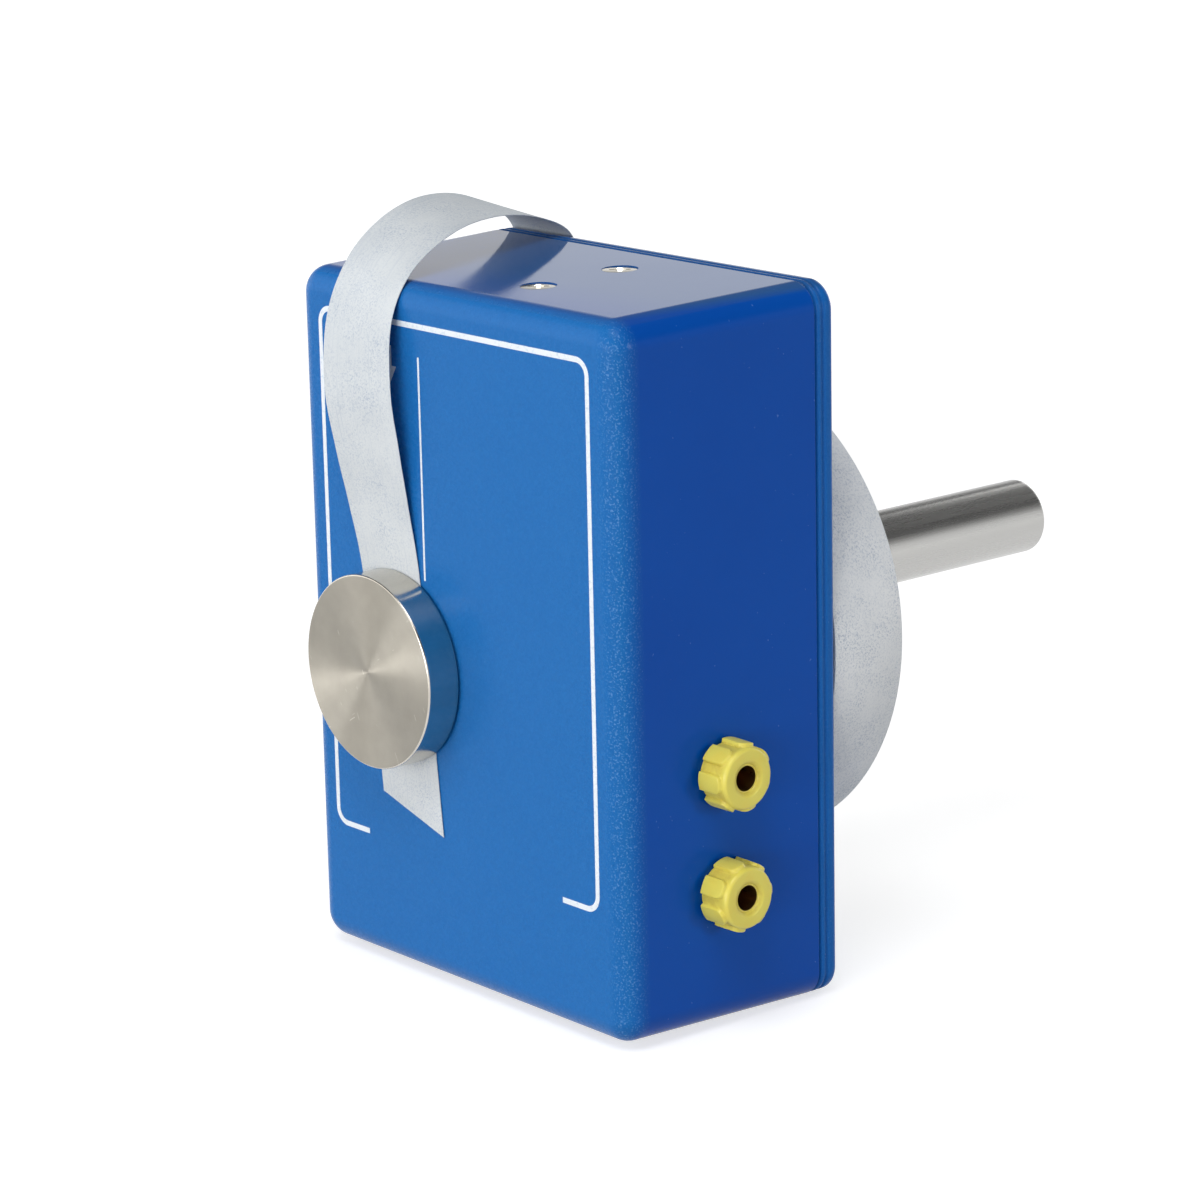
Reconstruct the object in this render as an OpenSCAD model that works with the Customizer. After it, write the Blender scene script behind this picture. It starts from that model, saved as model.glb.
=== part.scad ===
// Ticker timer. A sprung striker marks a paper tape that is drawn under a steel anvil disc.
// Millimetres. +Z is up and the front of the case faces -Y. The origin is on the axis of the
// support rod, where the chamfer of its free end starts.

/* [Case] */
// Width of the case where it meets the lid
case_w = 79; // [76:1:90]
// Height of the case where it meets the lid
case_h = 114; // [110:1:126]
// Depth of the case from its front face to the lid
case_d = 39.4; // [39:0.2:46]
// Thickness of the moulded walls
wall = 2.5; // [2.2:0.1:3]
// Radius of the four long corners, at least the front edge's radius
corner_r = 4.5; // [4.1:0.1:6]
// Radius of the rounded front edge
front_r = 4; // [3:0.1:4]
// How far each side leans in between the lid and the front face
draft = 1; // [0.6:0.1:1.4]
// Diameter of the lid screws' bosses in the corners
boss_d = 7; // [6.4:0.1:8]

/* [Lid] */
// Thickness of the lid's rim, seen from the side
lid_t = 4; // [3.6:0.1:5]
// Thickness of the lid inside its rim
lid_plate_t = 2.8; // [2.2:0.1:3.4]
// Radius of the lid's rounded back edge
lid_edge_r = 1.2; // [0.8:0.1:1.6]
// Distance of the groove round the lid's edge from the joint
lid_groove_pos = 1.5; // [1.2:0.1:1.8]
// Width of that groove
lid_groove_w = 0.4; // [0.3:0.1:0.6]
// Depth of that groove
lid_groove_depth = 0.3; // [0.2:0.05:0.4]
// Height of the tongue that fits inside the case
tongue_h = 2; // [1.5:0.5:3]
// Thickness of that tongue
tongue_t = 1.2; // [1:0.1:1.6]
// Thread diameter of the four lid screws
lid_screw_d = 2.9; // [2.5:0.1:3.2]
// Length of the lid screws
lid_screw_l = 12; // [10:1:16]

/* [Anvil] */
// Diameter of the anvil disc
anvil_d = 31.2; // [28:0.2:34]
// Thickness of the anvil disc
anvil_t = 6; // [4:0.5:8]
// Gap between the anvil disc and the case, which the tape passes through
anvil_gap = 0.3; // [0.26:0.02:0.5]
// Bevel round the anvil disc's edges
anvil_bevel = 0.35; // [0.2:0.05:0.6]
// Distance of the striker's axis from the left side of the case
anvil_from_left = 24.5; // [23:0.5:28]
// Height of the striker's axis above the bottom of the case
anvil_from_bottom = 51.6; // [48:0.2:56]

/* [Striker] */
// Diameter of the striker pin
striker_d = 3; // [2.6:0.1:3.6]
// Diameter of the hole that the striker pin works through
striker_hole_d = 5; // [4.6:0.1:5.6]
// Depth of the pin's tip inside the front face when it is at rest
striker_recess = 0.65; // [0.6:0.05:0.9]
// Width of the spring reed
reed_w = 8; // [6:0.5:9]
// Thickness of the spring reed
reed_t = 0.5; // [0.3:0.1:0.8]
// Distance of the reed's clamp below the bracket's flange
clamp_drop = 10.2; // [8:0.2:12]
// Height of the reed's clamp
clamp_h = 10; // [8:0.5:12]
// Thickness of the soft iron armature
armature_t = 3; // [2:0.5:3.5]
// Air gap between the armature and the coil's core
air_gap = 1.2; // [1.1:0.1:1.6]
// Outside diameter of the ring magnet behind the front wall
magnet_d = 26; // [24:1:28]
// Thickness of that magnet
magnet_t = 5; // [4:0.5:5.5]

/* [Coil] */
// Thickness of the steel coil bracket
bracket_t = 2; // [1.5:0.1:2.5]
// Width of the bracket's back plate
bracket_w = 26; // [24:1:30]
// Diameter of the soft iron core
core_d = 10; // [8:0.5:11]
// Diameter of the bobbin's end flanges
bobbin_d = 25; // [22:0.5:26]
// Diameter of the wound wire on the bobbin
winding_d = 23.4; // [18:0.2:24]
// Distance of the bracket screws from the right side of the case
bracket_screw_from_right = 32.9; // [31:0.1:35]
// Distance of the first bracket screw from the front face
bracket_screw_from_front = 12.6; // [12:0.2:14]
// Distance of the second bracket screw from the lid
bracket_screw_from_lid = 10.3; // [10:0.1:12]
// Diameter of the bracket screws' countersunk heads
bracket_head_d = 5.6; // [5:0.1:6]
// Thread diameter of the bracket screws
bracket_screw_d = 3; // [2.5:0.5:3]

/* [Sockets] */
// Bore of the sockets, for a plug of the same nominal size
socket_bore = 4; // [3.8:0.1:4.2]
// Spacing of the two sockets
socket_pitch = 19; // [18:0.5:21]
// Height of the lower socket above the bottom of the case
socket_from_bottom = 22.5; // [20:0.5:26]
// Height of a socket's yellow head
socket_head_h = 6; // [5.5:0.1:7]
// Diameter of the head between its grips
socket_head_d = 9.5; // [9:0.1:10]
// Diameter of the head across its grips
socket_grip_d = 11.1; // [10.6:0.1:12]
// Number of grips round the head
socket_grips = 7; // [6:1:9]
// Diameter of the socket's threaded neck
socket_neck_d = 8; // [7.6:0.1:8.4]

/* [Support rod and tape roll] */
// Diameter of the support rod
rod_d = 12.7; // [11:0.1:14]
// Length of the support rod behind the lid, up to its end chamfer
rod_len = 82; // [70:1:110]
// Diameter of the rod's turned-down neck, which the roll turns on
rod_neck_d = 12.1; // [10:0.1:13]
// Length of that neck
rod_neck_l = 22; // [18:1:30]
// Diameter of the full roll of tape
roll_d = 78; // [60:1:84]
// Width of the tape
tape_w = 14.6; // [12:0.2:15]
// Thickness of the tape
tape_t = 0.12; // [0.08:0.01:0.14]
// How far the roll hangs below the rod's axis, by the room in its core
roll_drop = 2; // [1:0.1:3]
// Thickness of the roll's cardboard core
roll_core_t = 1.6; // [1:0.1:2.5]
// Gap between the roll and the lid
roll_gap = 0.3; // [0.2:0.05:1]
// Height of the tape's loop above the case
tape_loop_h = 7; // [6:0.2:12]

/* [Fuse and wires] */
// Length of the fuse over its end caps
fuse_l = 20; // [18:1:22]
// Diameter of the fuse's end caps
fuse_d = 5.2; // [5:0.1:5.6]
// Distance of the fuse's middle below the top of the case
fuse_from_top = 31; // [29:1:34]
// Outside diameter of the insulated wires
wire_d = 1.4; // [1:0.1:1.8]

/* [Hidden] */

$fn = 48;
hull_fn = 32;
eps = 0.01;
slip = 0.1;
fit = 0.02;

// Planes across the depth of the case
back_y = -rod_len;
joint_y = back_y - lid_t;
front_y = joint_y - case_d;
front_in_y = front_y + wall;
lid_in_y = back_y - lid_plate_t;

// Striker axis
anvil_x = anvil_from_left - case_w / 2;
anvil_z = anvil_from_bottom - case_h / 2;

// Corner bosses and lid screws
boss_x = case_w / 2 - wall - boss_d / 2 + 0.2;
boss_z = case_h / 2 - wall - boss_d / 2 + 0.2;
pilot_depth = 16;
lid_head_d = lid_screw_d * 1.9;
lid_head_h = (lid_head_d - lid_screw_d) / 2;
lid_head_sink = 0.2;
joint_line = 0.3;

// Magnet behind the front wall
magnet_bore = 12;
magnet_lip_h = 3;
magnet_lip_t = 1.5;
magnet_y = front_in_y + magnet_t;

// Bracket, from the top flange down
pad_h = 0.7;
flange_top_z = case_h / 2 - draft - wall - pad_h;
flange_z = flange_top_z - bracket_t;
tab_from_wall = 6;
tab_front_y = front_in_y + tab_from_wall;
tab_back_y = tab_front_y + bracket_t;
rod_washer_t = 1.5;
rod_head_h = 4;
web_back_y = lid_in_y - rod_washer_t - rod_head_h - 0.7;
web_front_y = web_back_y - bracket_t;
bracket_screw_x = case_w / 2 - bracket_screw_from_right;
bracket_screw_ys = [front_y + bracket_screw_from_front, joint_y - bracket_screw_from_lid];
bracket_margin = 6;
bracket_screw_l = 10;
bracket_head_sink = 0.15;
washer_t = 0.5;
nut_h = 2.4;
nut_af = 5.5;
core_screw_d = 4;
core_screw_head_h = 2.2;

// Reed in its clamp, with room to rock a degree each way
clamp_z = flange_z - clamp_drop - clamp_h;
clamp_w = 20;
clamp_plate_t = 1.5;
reed_room = 0.22;
reed_y = tab_back_y + reed_room;
reed_back_y = reed_y + reed_t;
clamp_y = reed_back_y + reed_room;
clamp_screw_d = 2.5;
clamp_screw_x = reed_w / 2 + clamp_screw_d / 2 + 1.2;
clamp_head_h = 1.6;
armature_back_y = reed_back_y + armature_t;
armature_w = 12;
armature_h = 14;
rivet_d = 2;

// Coil between the armature and the back plate
core_front_y = armature_back_y + air_gap;
bobbin_front_y = core_front_y + 0.6;
bobbin_wall = 1;
pin_d = 1;
pin_out = 3.5;
pin_y = web_front_y - 1.4;
pin_zs = [for (s = [1, -1]) anvil_z + 4 * s];

// Sockets in the right side, which leans with the draft
function half_w(y) = case_w / 2 - draft * (joint_y - y) / case_d;
function half_h(y) = case_h / 2 - draft * (joint_y - y) / case_d;
socket_y = front_y + case_d / 2;
socket_zs = [for (i = [1, 0]) socket_from_bottom + i * socket_pitch - case_h / 2];
socket_seat_x = half_w(socket_y) - 0.15;
socket_nose_x = socket_seat_x + socket_head_h;
socket_collar_h = 1.5;
socket_in_x = socket_seat_x - wall - 0.4;
socket_neck_l = wall + 7;
sleeve_wall = 1;
sleeve_l = 17;
sleeve_bore_l = 12.5;
sleeve_step = 0.6;
socket_nut_h = 3;
socket_nut_af = 11;
socket_washer_t = 0.6;
tail_l = 5;
tail_h = 2.8;
tail_t = 0.8;
sleeve_mouth_x = socket_nose_x - sleeve_step;
sleeve_end_x = sleeve_mouth_x - sleeve_l;
tail_end_x = sleeve_end_x - tail_l;

// Fuse holder on a boss of the right side
fuse_z = case_h / 2 - fuse_from_top;
fuse_boss_h = 4;
fuse_base_t = 4;
fuse_base_l = fuse_l + 10;
fuse_base_w = 9;
fuse_boss_x = half_w(socket_y) - wall - fuse_boss_h;
fuse_base_x = fuse_boss_x - fuse_base_t;
clip_t = 0.5;
clip_foot = 1.2;
clip_w = 4.5;
fuse_x = fuse_base_x - clip_foot - fuse_d / 2;
cap_l = 5.5;
cap_t = 0.15;
fuse_tail_l = 4;
clip_tail_z = fuse_base_l / 2 + fuse_tail_l;
wire_gap = 0.1;

// Support rod and its screw
rod_screw_d = 6;
rod_screw_l = 16;
rod_screw_af = 10;
rod_chamfer = 1;
rod_washer_d = 24;

// Tape roll, which hangs on the rod by the top of its core
core_bore_r = rod_neck_d / 2 + roll_drop + 0.06;
core_r = core_bore_r + roll_core_t;
roll_front_y = back_y + roll_gap;
roll_mid_y = roll_front_y + tape_w / 2;
strip_gap = 0.2;

// ---------- shared shapes ----------

// A cylinder along +Y, from y0 to y1
module rod_y(x, z, y0, y1, d) {
    translate([x, y0, z]) rotate([-90, 0, 0]) cylinder(d = d, h = y1 - y0);
}

// A cylinder along +X, from x0 to x1
module rod_x(y, z, x0, x1, d) {
    translate([x0, y, z]) rotate([0, 90, 0]) cylinder(d = d, h = x1 - x0);
}

// A cone along +Y, from diameter d0 at y0 to d1 at y1
module cone_y(x, z, y0, y1, d0, d1) {
    translate([x, y0, z]) rotate([-90, 0, 0]) cylinder(d1 = d0, d2 = d1, h = y1 - y0);
}

// A block from one corner to the other
module block(a, b) {
    translate(a) cube(b - a);
}

// The four corners of a rectangle w by h, each inset by r
module at_corners(w, h, r) {
    for (sx = [-1, 1], sz = [-1, 1]) translate([sx * (w / 2 - r), 0, sz * (h / 2 - r)]) children();
}

// A disc of radius r along +Y whose far edge is rounded by e
module soft_disc(r, e, h) {
    rotate([-90, 0, 0]) rotate_extrude($fn = hull_fn)
        polygon(concat([[0, 0], [r, 0]],
            [for (a = [0:90 / 8:90]) [r - e + e * cos(a), h - e + e * sin(a)]],
            [[0, h]]));
}

// A rounded rectangle w by h in the XZ plane, from y0 to y1
module round_slab(w, h, r, y0, y1) {
    at_corners(w, h, r) rod_y(0, 0, y0, y1, 2 * r);
    block([-w / 2 + r, y0, -h / 2], [w / 2 - r, y1, h / 2]);
    block([-w / 2, y0, -h / 2 + r], [w / 2, y1, h / 2 - r]);
}

// The cross recess of a screw, cut along +Z from the head's top at z = 0
module cross_recess(d, depth) {
    for (a = [0, 90]) rotate(a) translate([-d / 2, -d / 9, -depth]) cube([d, d * 2 / 9, depth + eps]);
    translate([0, 0, -depth]) cylinder(d = d * 0.5, h = depth + eps, $fn = 16);
}

// A countersunk screw along -Z, its head's top at z = 0
module countersunk_screw(d, head_d, length) {
    head_h = (head_d - d) / 2;
    difference() {
        union() {
            translate([0, 0, -head_h]) cylinder(d1 = d, d2 = head_d, h = head_h);
            translate([0, 0, -length]) cylinder(d = d, h = length - head_h + eps);
        }
        cross_recess(head_d * 0.6, head_h * 0.8);
    }
}

// A pan head screw along -Z, the underside of its head at z = 0
module pan_screw(d, head_d, head_h, length) {
    difference() {
        union() {
            rotate_extrude() polygon([[0, 0], [head_d / 2, 0], [head_d / 2, head_h * 0.55],
                [head_d / 2 - head_h * 0.2, head_h * 0.88], [head_d / 2 - head_h * 0.5, head_h],
                [0, head_h]]);
            translate([0, 0, -length]) cylinder(d = d, h = length + eps);
        }
        translate([0, 0, head_h]) cross_recess(head_d * 0.55, head_h * 0.7);
    }
}

// ---------- curves ----------

// A point on the smooth curve through points p at station t
function spot(p, t) =
    let (n = len(p) - 1, i = min(floor(t), n - 1), u = t - i,
         a = p[max(i - 1, 0)], b = p[i], c = p[i + 1], d = p[min(i + 2, n)])
    0.5 * (2 * b + (c - a) * u + (2 * a - 5 * b + 4 * c - d) * u * u
        + (3 * b - a - 3 * c + d) * u * u * u);
function unit(v) = v / norm(v);
function stations(p, steps) = [for (i = [0:(len(p) - 1) * steps]) i / steps];

// Triangles that join n rings of m points into a closed solid
function skin_faces(n, m) = concat(
    [for (i = [0:n - 2], j = [0:m - 1]) [i * m + j, i * m + (j + 1) % m, (i + 1) * m + j]],
    [for (i = [0:n - 2], j = [0:m - 1]) [i * m + (j + 1) % m, (i + 1) * m + (j + 1) % m, (i + 1) * m + j]],
    [for (j = [1:m - 2]) [0, j + 1, j]],
    [for (j = [1:m - 2]) [(n - 1) * m, (n - 1) * m + j, (n - 1) * m + j + 1]]);

// A round wire through the points of a route
module wire(route) {
    sides = 8;
    ts = stations(route, 4);
    mids = [for (t = ts) spot(route, t)];
    last = len(ts) - 1;
    ahead = [for (i = [0:last]) unit(mids[min(i + 1, last)] - mids[max(i - 1, 0)])];
    rings = [for (i = [0:last]) let (u = unit(cross(ahead[i], [0.1, 1, 0.2])), v = cross(ahead[i], u))
        for (j = [0:sides - 1]) mids[i]
            + wire_d / 2 * (cos(360 * j / sides) * u + sin(360 * j / sides) * v)];
    polyhedron(points = rings, faces = skin_faces(len(ts), sides));
}

// ---------- case and lid ----------

// The outside of the case, drafted towards a rounded front edge
module case_outside() {
    hull() {
        at_corners(case_w - 2 * draft, case_h - 2 * draft, corner_r)
            translate([0, front_y + front_r, 0]) mirror([0, 1, 0])
                soft_disc(corner_r, front_r, front_r);
        at_corners(case_w, case_h, corner_r)
            rod_y(0, 0, joint_y - 0.2, joint_y, 2 * corner_r, $fn = hull_fn);
    }
}

// The room inside the case, open at the lid
module case_inside() {
    inner_r = corner_r - wall;
    hull() {
        at_corners(case_w - 2 * (draft + wall), case_h - 2 * (draft + wall), inner_r)
            rod_y(0, 0, front_in_y, front_in_y + 0.1, 2 * inner_r, $fn = hull_fn);
        at_corners(case_w - 2 * wall, case_h - 2 * wall, inner_r)
            rod_y(0, 0, joint_y, joint_y + 1, 2 * inner_r, $fn = hull_fn);
    }
}

module case_shell() color([0.06, 0.32, 0.68]) {
    difference() {
        union() {
            difference() {
                case_outside();
                case_inside();
            }
            // Bosses for the lid screws
            for (sx = [-1, 1], sz = [-1, 1])
                rod_y(sx * boss_x, sz * boss_z, front_in_y - eps, joint_y, boss_d);
            // Lip round the ring magnet
            difference() {
                rod_y(anvil_x, anvil_z, front_in_y - eps, front_in_y + magnet_lip_h,
                    magnet_d + 2 * (magnet_lip_t + slip));
                rod_y(anvil_x, anvil_z, front_in_y, front_in_y + magnet_lip_h + 1, magnet_d + 2 * slip);
            }
            // Pads that the bracket's flange is drawn up against
            for (y = bracket_screw_ys)
                translate([bracket_screw_x, y, flange_top_z])
                    cylinder(d = 2 * bracket_margin - 2, h = half_h(y) - wall / 2 - flange_top_z);
            // Flat pads inside the sockets
            for (z = socket_zs)
                rod_x(socket_y, z, socket_in_x, half_w(socket_y) - wall / 2, socket_nut_af + 4);
            // Boss for the fuse holder
            rod_x(socket_y, fuse_z, fuse_boss_x, half_w(socket_y) - wall / 2, 7);
        }
        // Striker hole
        rod_y(anvil_x, anvil_z, front_y - 1, front_in_y + 1, striker_hole_d);
        // Pilot holes for the lid screws
        for (sx = [-1, 1], sz = [-1, 1])
            rod_y(sx * boss_x, sz * boss_z, joint_y - pilot_depth, joint_y + 1, lid_screw_d + 2 * fit);
        // Countersunk holes for the bracket screws
        for (y = bracket_screw_ys) translate([bracket_screw_x, y, half_h(y) - bracket_head_sink]) {
            translate([0, 0, -wall * 4]) cylinder(d = bracket_screw_d + 2 * slip, h = wall * 4 + 1);
            translate([0, 0, -(bracket_head_d - bracket_screw_d) / 2])
                cylinder(d1 = bracket_screw_d + 2 * slip, d2 = bracket_head_d + 2 * slip,
                    h = (bracket_head_d - bracket_screw_d) / 2);
            translate([0, 0, -eps]) cylinder(d = bracket_head_d + 2 * slip, h = 1);
        }
        // Seats and holes for the sockets
        for (z = socket_zs) {
            rod_x(socket_y, z, socket_seat_x, socket_seat_x + 2, socket_head_d + 2 * slip);
            rod_x(socket_y, z, socket_in_x - 1, socket_seat_x + 1, socket_neck_d + 2 * slip);
        }
        // Pilot hole for the fuse holder's screw
        rod_x(socket_y, fuse_z, fuse_boss_x - 1, fuse_boss_x + fuse_boss_h, lid_screw_d + 2 * fit);
    }
}

// The lid's tongue, which stays clear of the corner bosses
module lid_tongue() {
    w = case_w - 2 * (wall + slip);
    h = case_h - 2 * (wall + slip);
    difference() {
        round_slab(w, h, corner_r - wall, joint_y - tongue_h, lid_in_y + eps);
        round_slab(w - 2 * tongue_t, h - 2 * tongue_t, (corner_r - wall) / 2,
            joint_y - tongue_h - 1, lid_in_y + 1);
        for (sx = [-1, 1], sz = [-1, 1])
            rod_y(sx * boss_x, sz * boss_z, joint_y - tongue_h - 1, joint_y, boss_d + 0.8);
    }
}

module rear_lid() color([0.05, 0.29, 0.64]) {
    difference() {
        union() {
            difference() {
                hull() at_corners(case_w, case_h, corner_r)
                    translate([0, joint_y, 0]) soft_disc(corner_r, lid_edge_r, lid_t);
                // Pocket inside the rim
                round_slab(case_w - 2 * (wall + slip + eps), case_h - 2 * (wall + slip + eps),
                    corner_r - wall, joint_y - 1, lid_in_y);
                // Groove round the edge
                difference() {
                    round_slab(case_w + 2, case_h + 2, corner_r + 1,
                        joint_y + lid_groove_pos, joint_y + lid_groove_pos + lid_groove_w);
                    round_slab(case_w - 2 * lid_groove_depth, case_h - 2 * lid_groove_depth,
                        corner_r - lid_groove_depth, joint_y, back_y);
                }
                // Chamfered front edge, so that the joint shows as a fine line
                difference() {
                    round_slab(case_w + 2, case_h + 2, corner_r + 1, joint_y - 1, joint_y + joint_line);
                    round_slab(case_w - 2 * joint_line, case_h - 2 * joint_line, corner_r - joint_line,
                        joint_y - 2, back_y);
                }
            }
            lid_tongue();
            // Pads that meet the corner bosses
            for (sx = [-1, 1], sz = [-1, 1])
                rod_y(sx * boss_x, sz * boss_z, joint_y, lid_in_y + eps, boss_d);
        }
        // Hole for the rod's screw
        rod_y(0, 0, joint_y - 1, back_y + 1, rod_screw_d + 4 * slip);
        // Countersunk holes for the lid screws
        for (sx = [-1, 1], sz = [-1, 1]) {
            rod_y(sx * boss_x, sz * boss_z, joint_y - 1, back_y + 1, lid_screw_d + 4 * slip);
            cone_y(sx * boss_x, sz * boss_z, back_y - lid_head_sink - lid_head_h, back_y - lid_head_sink,
                lid_screw_d + 4 * slip, lid_head_d + 4 * slip);
            rod_y(sx * boss_x, sz * boss_z, back_y - lid_head_sink, back_y + 1, lid_head_d + 4 * slip);
        }
    }
}

module lid_screws() color([0.72, 0.71, 0.68]) {
    for (sx = [-1, 1], sz = [-1, 1])
        translate([sx * boss_x, back_y - lid_head_sink, sz * boss_z]) rotate([-90, 0, 0])
            countersunk_screw(lid_screw_d, lid_head_d, lid_screw_l);
}

// ---------- anvil and striker ----------

module anvil_disc() color([0.75, 0.73, 0.66]) {
    back = front_y - anvil_gap;
    translate([anvil_x, back, anvil_z]) rotate([90, 0, 0]) rotate_extrude($fn = 96)
        polygon([[0, 0], [anvil_d / 2 - anvil_bevel, 0], [anvil_d / 2, anvil_bevel],
            [anvil_d / 2, anvil_t - anvil_bevel], [anvil_d / 2 - anvil_bevel, anvil_t], [0, anvil_t]]);
}

module field_magnet() color([0.25, 0.25, 0.27]) {
    difference() {
        rod_y(anvil_x, anvil_z, front_in_y, magnet_y, magnet_d);
        rod_y(anvil_x, anvil_z, front_in_y - 1, magnet_y + 1, magnet_bore);
    }
}

module striker_pin() color([0.7, 0.7, 0.72]) {
    tip_y = front_y + striker_recess;
    nose = striker_d / 4;
    cone_y(anvil_x, anvil_z, tip_y, tip_y + nose, striker_d / 2, striker_d);
    rod_y(anvil_x, anvil_z, tip_y + nose, reed_y, striker_d);
    // Rivet through the reed and the armature
    rod_y(anvil_x, anvil_z, reed_y - eps, armature_back_y, rivet_d);
}

module reed_spring() color([0.55, 0.57, 0.62]) {
    difference() {
        block([anvil_x - reed_w / 2, reed_y, anvil_z - armature_h / 2],
            [anvil_x + reed_w / 2, reed_back_y, clamp_z + clamp_h - 1]);
        rod_y(anvil_x, anvil_z, reed_y - 1, reed_back_y + 1, rivet_d);
    }
}

module armature() color([0.42, 0.42, 0.44]) {
    difference() {
        block([anvil_x - armature_w / 2, reed_back_y, anvil_z - armature_h / 2],
            [anvil_x + armature_w / 2, armature_back_y, anvil_z + armature_h / 2]);
        rod_y(anvil_x, anvil_z, reed_back_y - 1, armature_back_y + 1, rivet_d);
    }
}

module reed_clamp_plate() color([0.66, 0.67, 0.68]) {
    difference() {
        block([anvil_x - clamp_w / 2, clamp_y, clamp_z],
            [anvil_x + clamp_w / 2, clamp_y + clamp_plate_t, clamp_z + clamp_h]);
        for (s = [-1, 1])
            rod_y(anvil_x + s * clamp_screw_x, clamp_z + clamp_h / 2, clamp_y - 1,
                clamp_y + clamp_plate_t + 1, clamp_screw_d + 2 * slip);
    }
}

module reed_clamp_screws() color([0.72, 0.71, 0.68]) {
    for (s = [-1, 1])
        translate([anvil_x + s * clamp_screw_x, clamp_y + clamp_plate_t, clamp_z + clamp_h / 2])
            rotate([-90, 0, 0]) pan_screw(clamp_screw_d, clamp_screw_d * 1.9, clamp_head_h,
                clamp_y + clamp_plate_t - tab_front_y);
}

// ---------- coil ----------

module coil_bracket() color([0.62, 0.63, 0.6]) {
    difference() {
        union() {
            // Top flange
            block([anvil_x - bracket_w / 2, tab_front_y, flange_z],
                [bracket_screw_x + bracket_margin, web_back_y, flange_top_z]);
            // Back plate behind the coil
            block([anvil_x - bracket_w / 2, web_front_y, anvil_z - bracket_w / 2],
                [anvil_x + bracket_w / 2, web_back_y, flange_z + eps]);
            // Front tab that holds the reed
            block([anvil_x - clamp_w / 2, tab_front_y, clamp_z],
                [anvil_x + clamp_w / 2, tab_back_y, flange_z + eps]);
        }
        for (y = bracket_screw_ys) translate([bracket_screw_x, y, flange_z - 1])
            cylinder(d = bracket_screw_d + 2 * slip, h = bracket_t + 2);
        for (s = [-1, 1])
            rod_y(anvil_x + s * clamp_screw_x, clamp_z + clamp_h / 2, tab_front_y - 1, tab_back_y + 1,
                clamp_screw_d + 2 * fit);
        rod_y(anvil_x, anvil_z, web_front_y - 1, web_back_y + 1, core_screw_d + 2 * slip);
    }
}

module bracket_screws() color([0.76, 0.73, 0.64]) {
    for (y = bracket_screw_ys) translate([bracket_screw_x, y, half_h(y) - bracket_head_sink])
        countersunk_screw(bracket_screw_d, bracket_head_d, bracket_screw_l);
}

module bracket_washers() color([0.7, 0.7, 0.72]) {
    for (y = bracket_screw_ys) translate([bracket_screw_x, y, flange_z - washer_t]) difference() {
        cylinder(d = nut_af + 1.2, h = washer_t);
        translate([0, 0, -1]) cylinder(d = bracket_screw_d + 2 * slip, h = washer_t + 2);
    }
}

module bracket_nuts() color([0.7, 0.7, 0.72]) {
    for (y = bracket_screw_ys) translate([bracket_screw_x, y, flange_z - washer_t - nut_h]) difference() {
        cylinder(d = nut_af / cos(30), h = nut_h, $fn = 6);
        translate([0, 0, -1]) cylinder(d = bracket_screw_d + 2 * fit, h = nut_h + 2);
    }
}

module coil_core() color([0.5, 0.5, 0.52]) {
    difference() {
        rod_y(anvil_x, anvil_z, core_front_y, web_front_y, core_d);
        rod_y(anvil_x, anvil_z, web_front_y - 8, web_front_y + 1, core_screw_d + 2 * fit);
    }
}

module coil_bobbin() color([0.9, 0.89, 0.84]) {
    difference() {
        union() {
            rod_y(anvil_x, anvil_z, bobbin_front_y, bobbin_front_y + bobbin_wall, bobbin_d);
            rod_y(anvil_x, anvil_z, web_front_y - bobbin_wall, web_front_y, bobbin_d);
            rod_y(anvil_x, anvil_z, bobbin_front_y, web_front_y, core_d + 2 * (bobbin_wall + slip));
            // Lugs that hold the pins
            for (z = pin_zs)
                block([anvil_x + bobbin_d / 2 - 2, pin_y - 1.2, z - 1.3],
                    [anvil_x + bobbin_d / 2 + 1, web_front_y, z + 1.3]);
        }
        rod_y(anvil_x, anvil_z, bobbin_front_y - 1, web_front_y + 1, core_d + 2 * slip);
        for (z = pin_zs)
            rod_x(pin_y, z, anvil_x + bobbin_d / 2 - 1, anvil_x + bobbin_d / 2 + 2, pin_d);
    }
}

module coil_winding() color([0.66, 0.34, 0.14]) {
    front = bobbin_front_y + bobbin_wall;
    back = web_front_y - bobbin_wall - 1.7;
    difference() {
        rod_y(anvil_x, anvil_z, front, back, winding_d);
        rod_y(anvil_x, anvil_z, front - 1, back + 1, core_d + 2 * (bobbin_wall + slip));
    }
}

module coil_pins() color([0.8, 0.7, 0.4]) {
    for (z = pin_zs)
        rod_x(pin_y, z, anvil_x + bobbin_d / 2 - 1, anvil_x + bobbin_d / 2 + pin_out, pin_d);
}

module core_screw() color([0.72, 0.71, 0.68]) {
    translate([anvil_x, web_back_y, anvil_z]) rotate([-90, 0, 0])
        pan_screw(core_screw_d, core_screw_d * 1.9, core_screw_head_h, bracket_t + 7);
}

// ---------- sockets ----------

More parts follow.
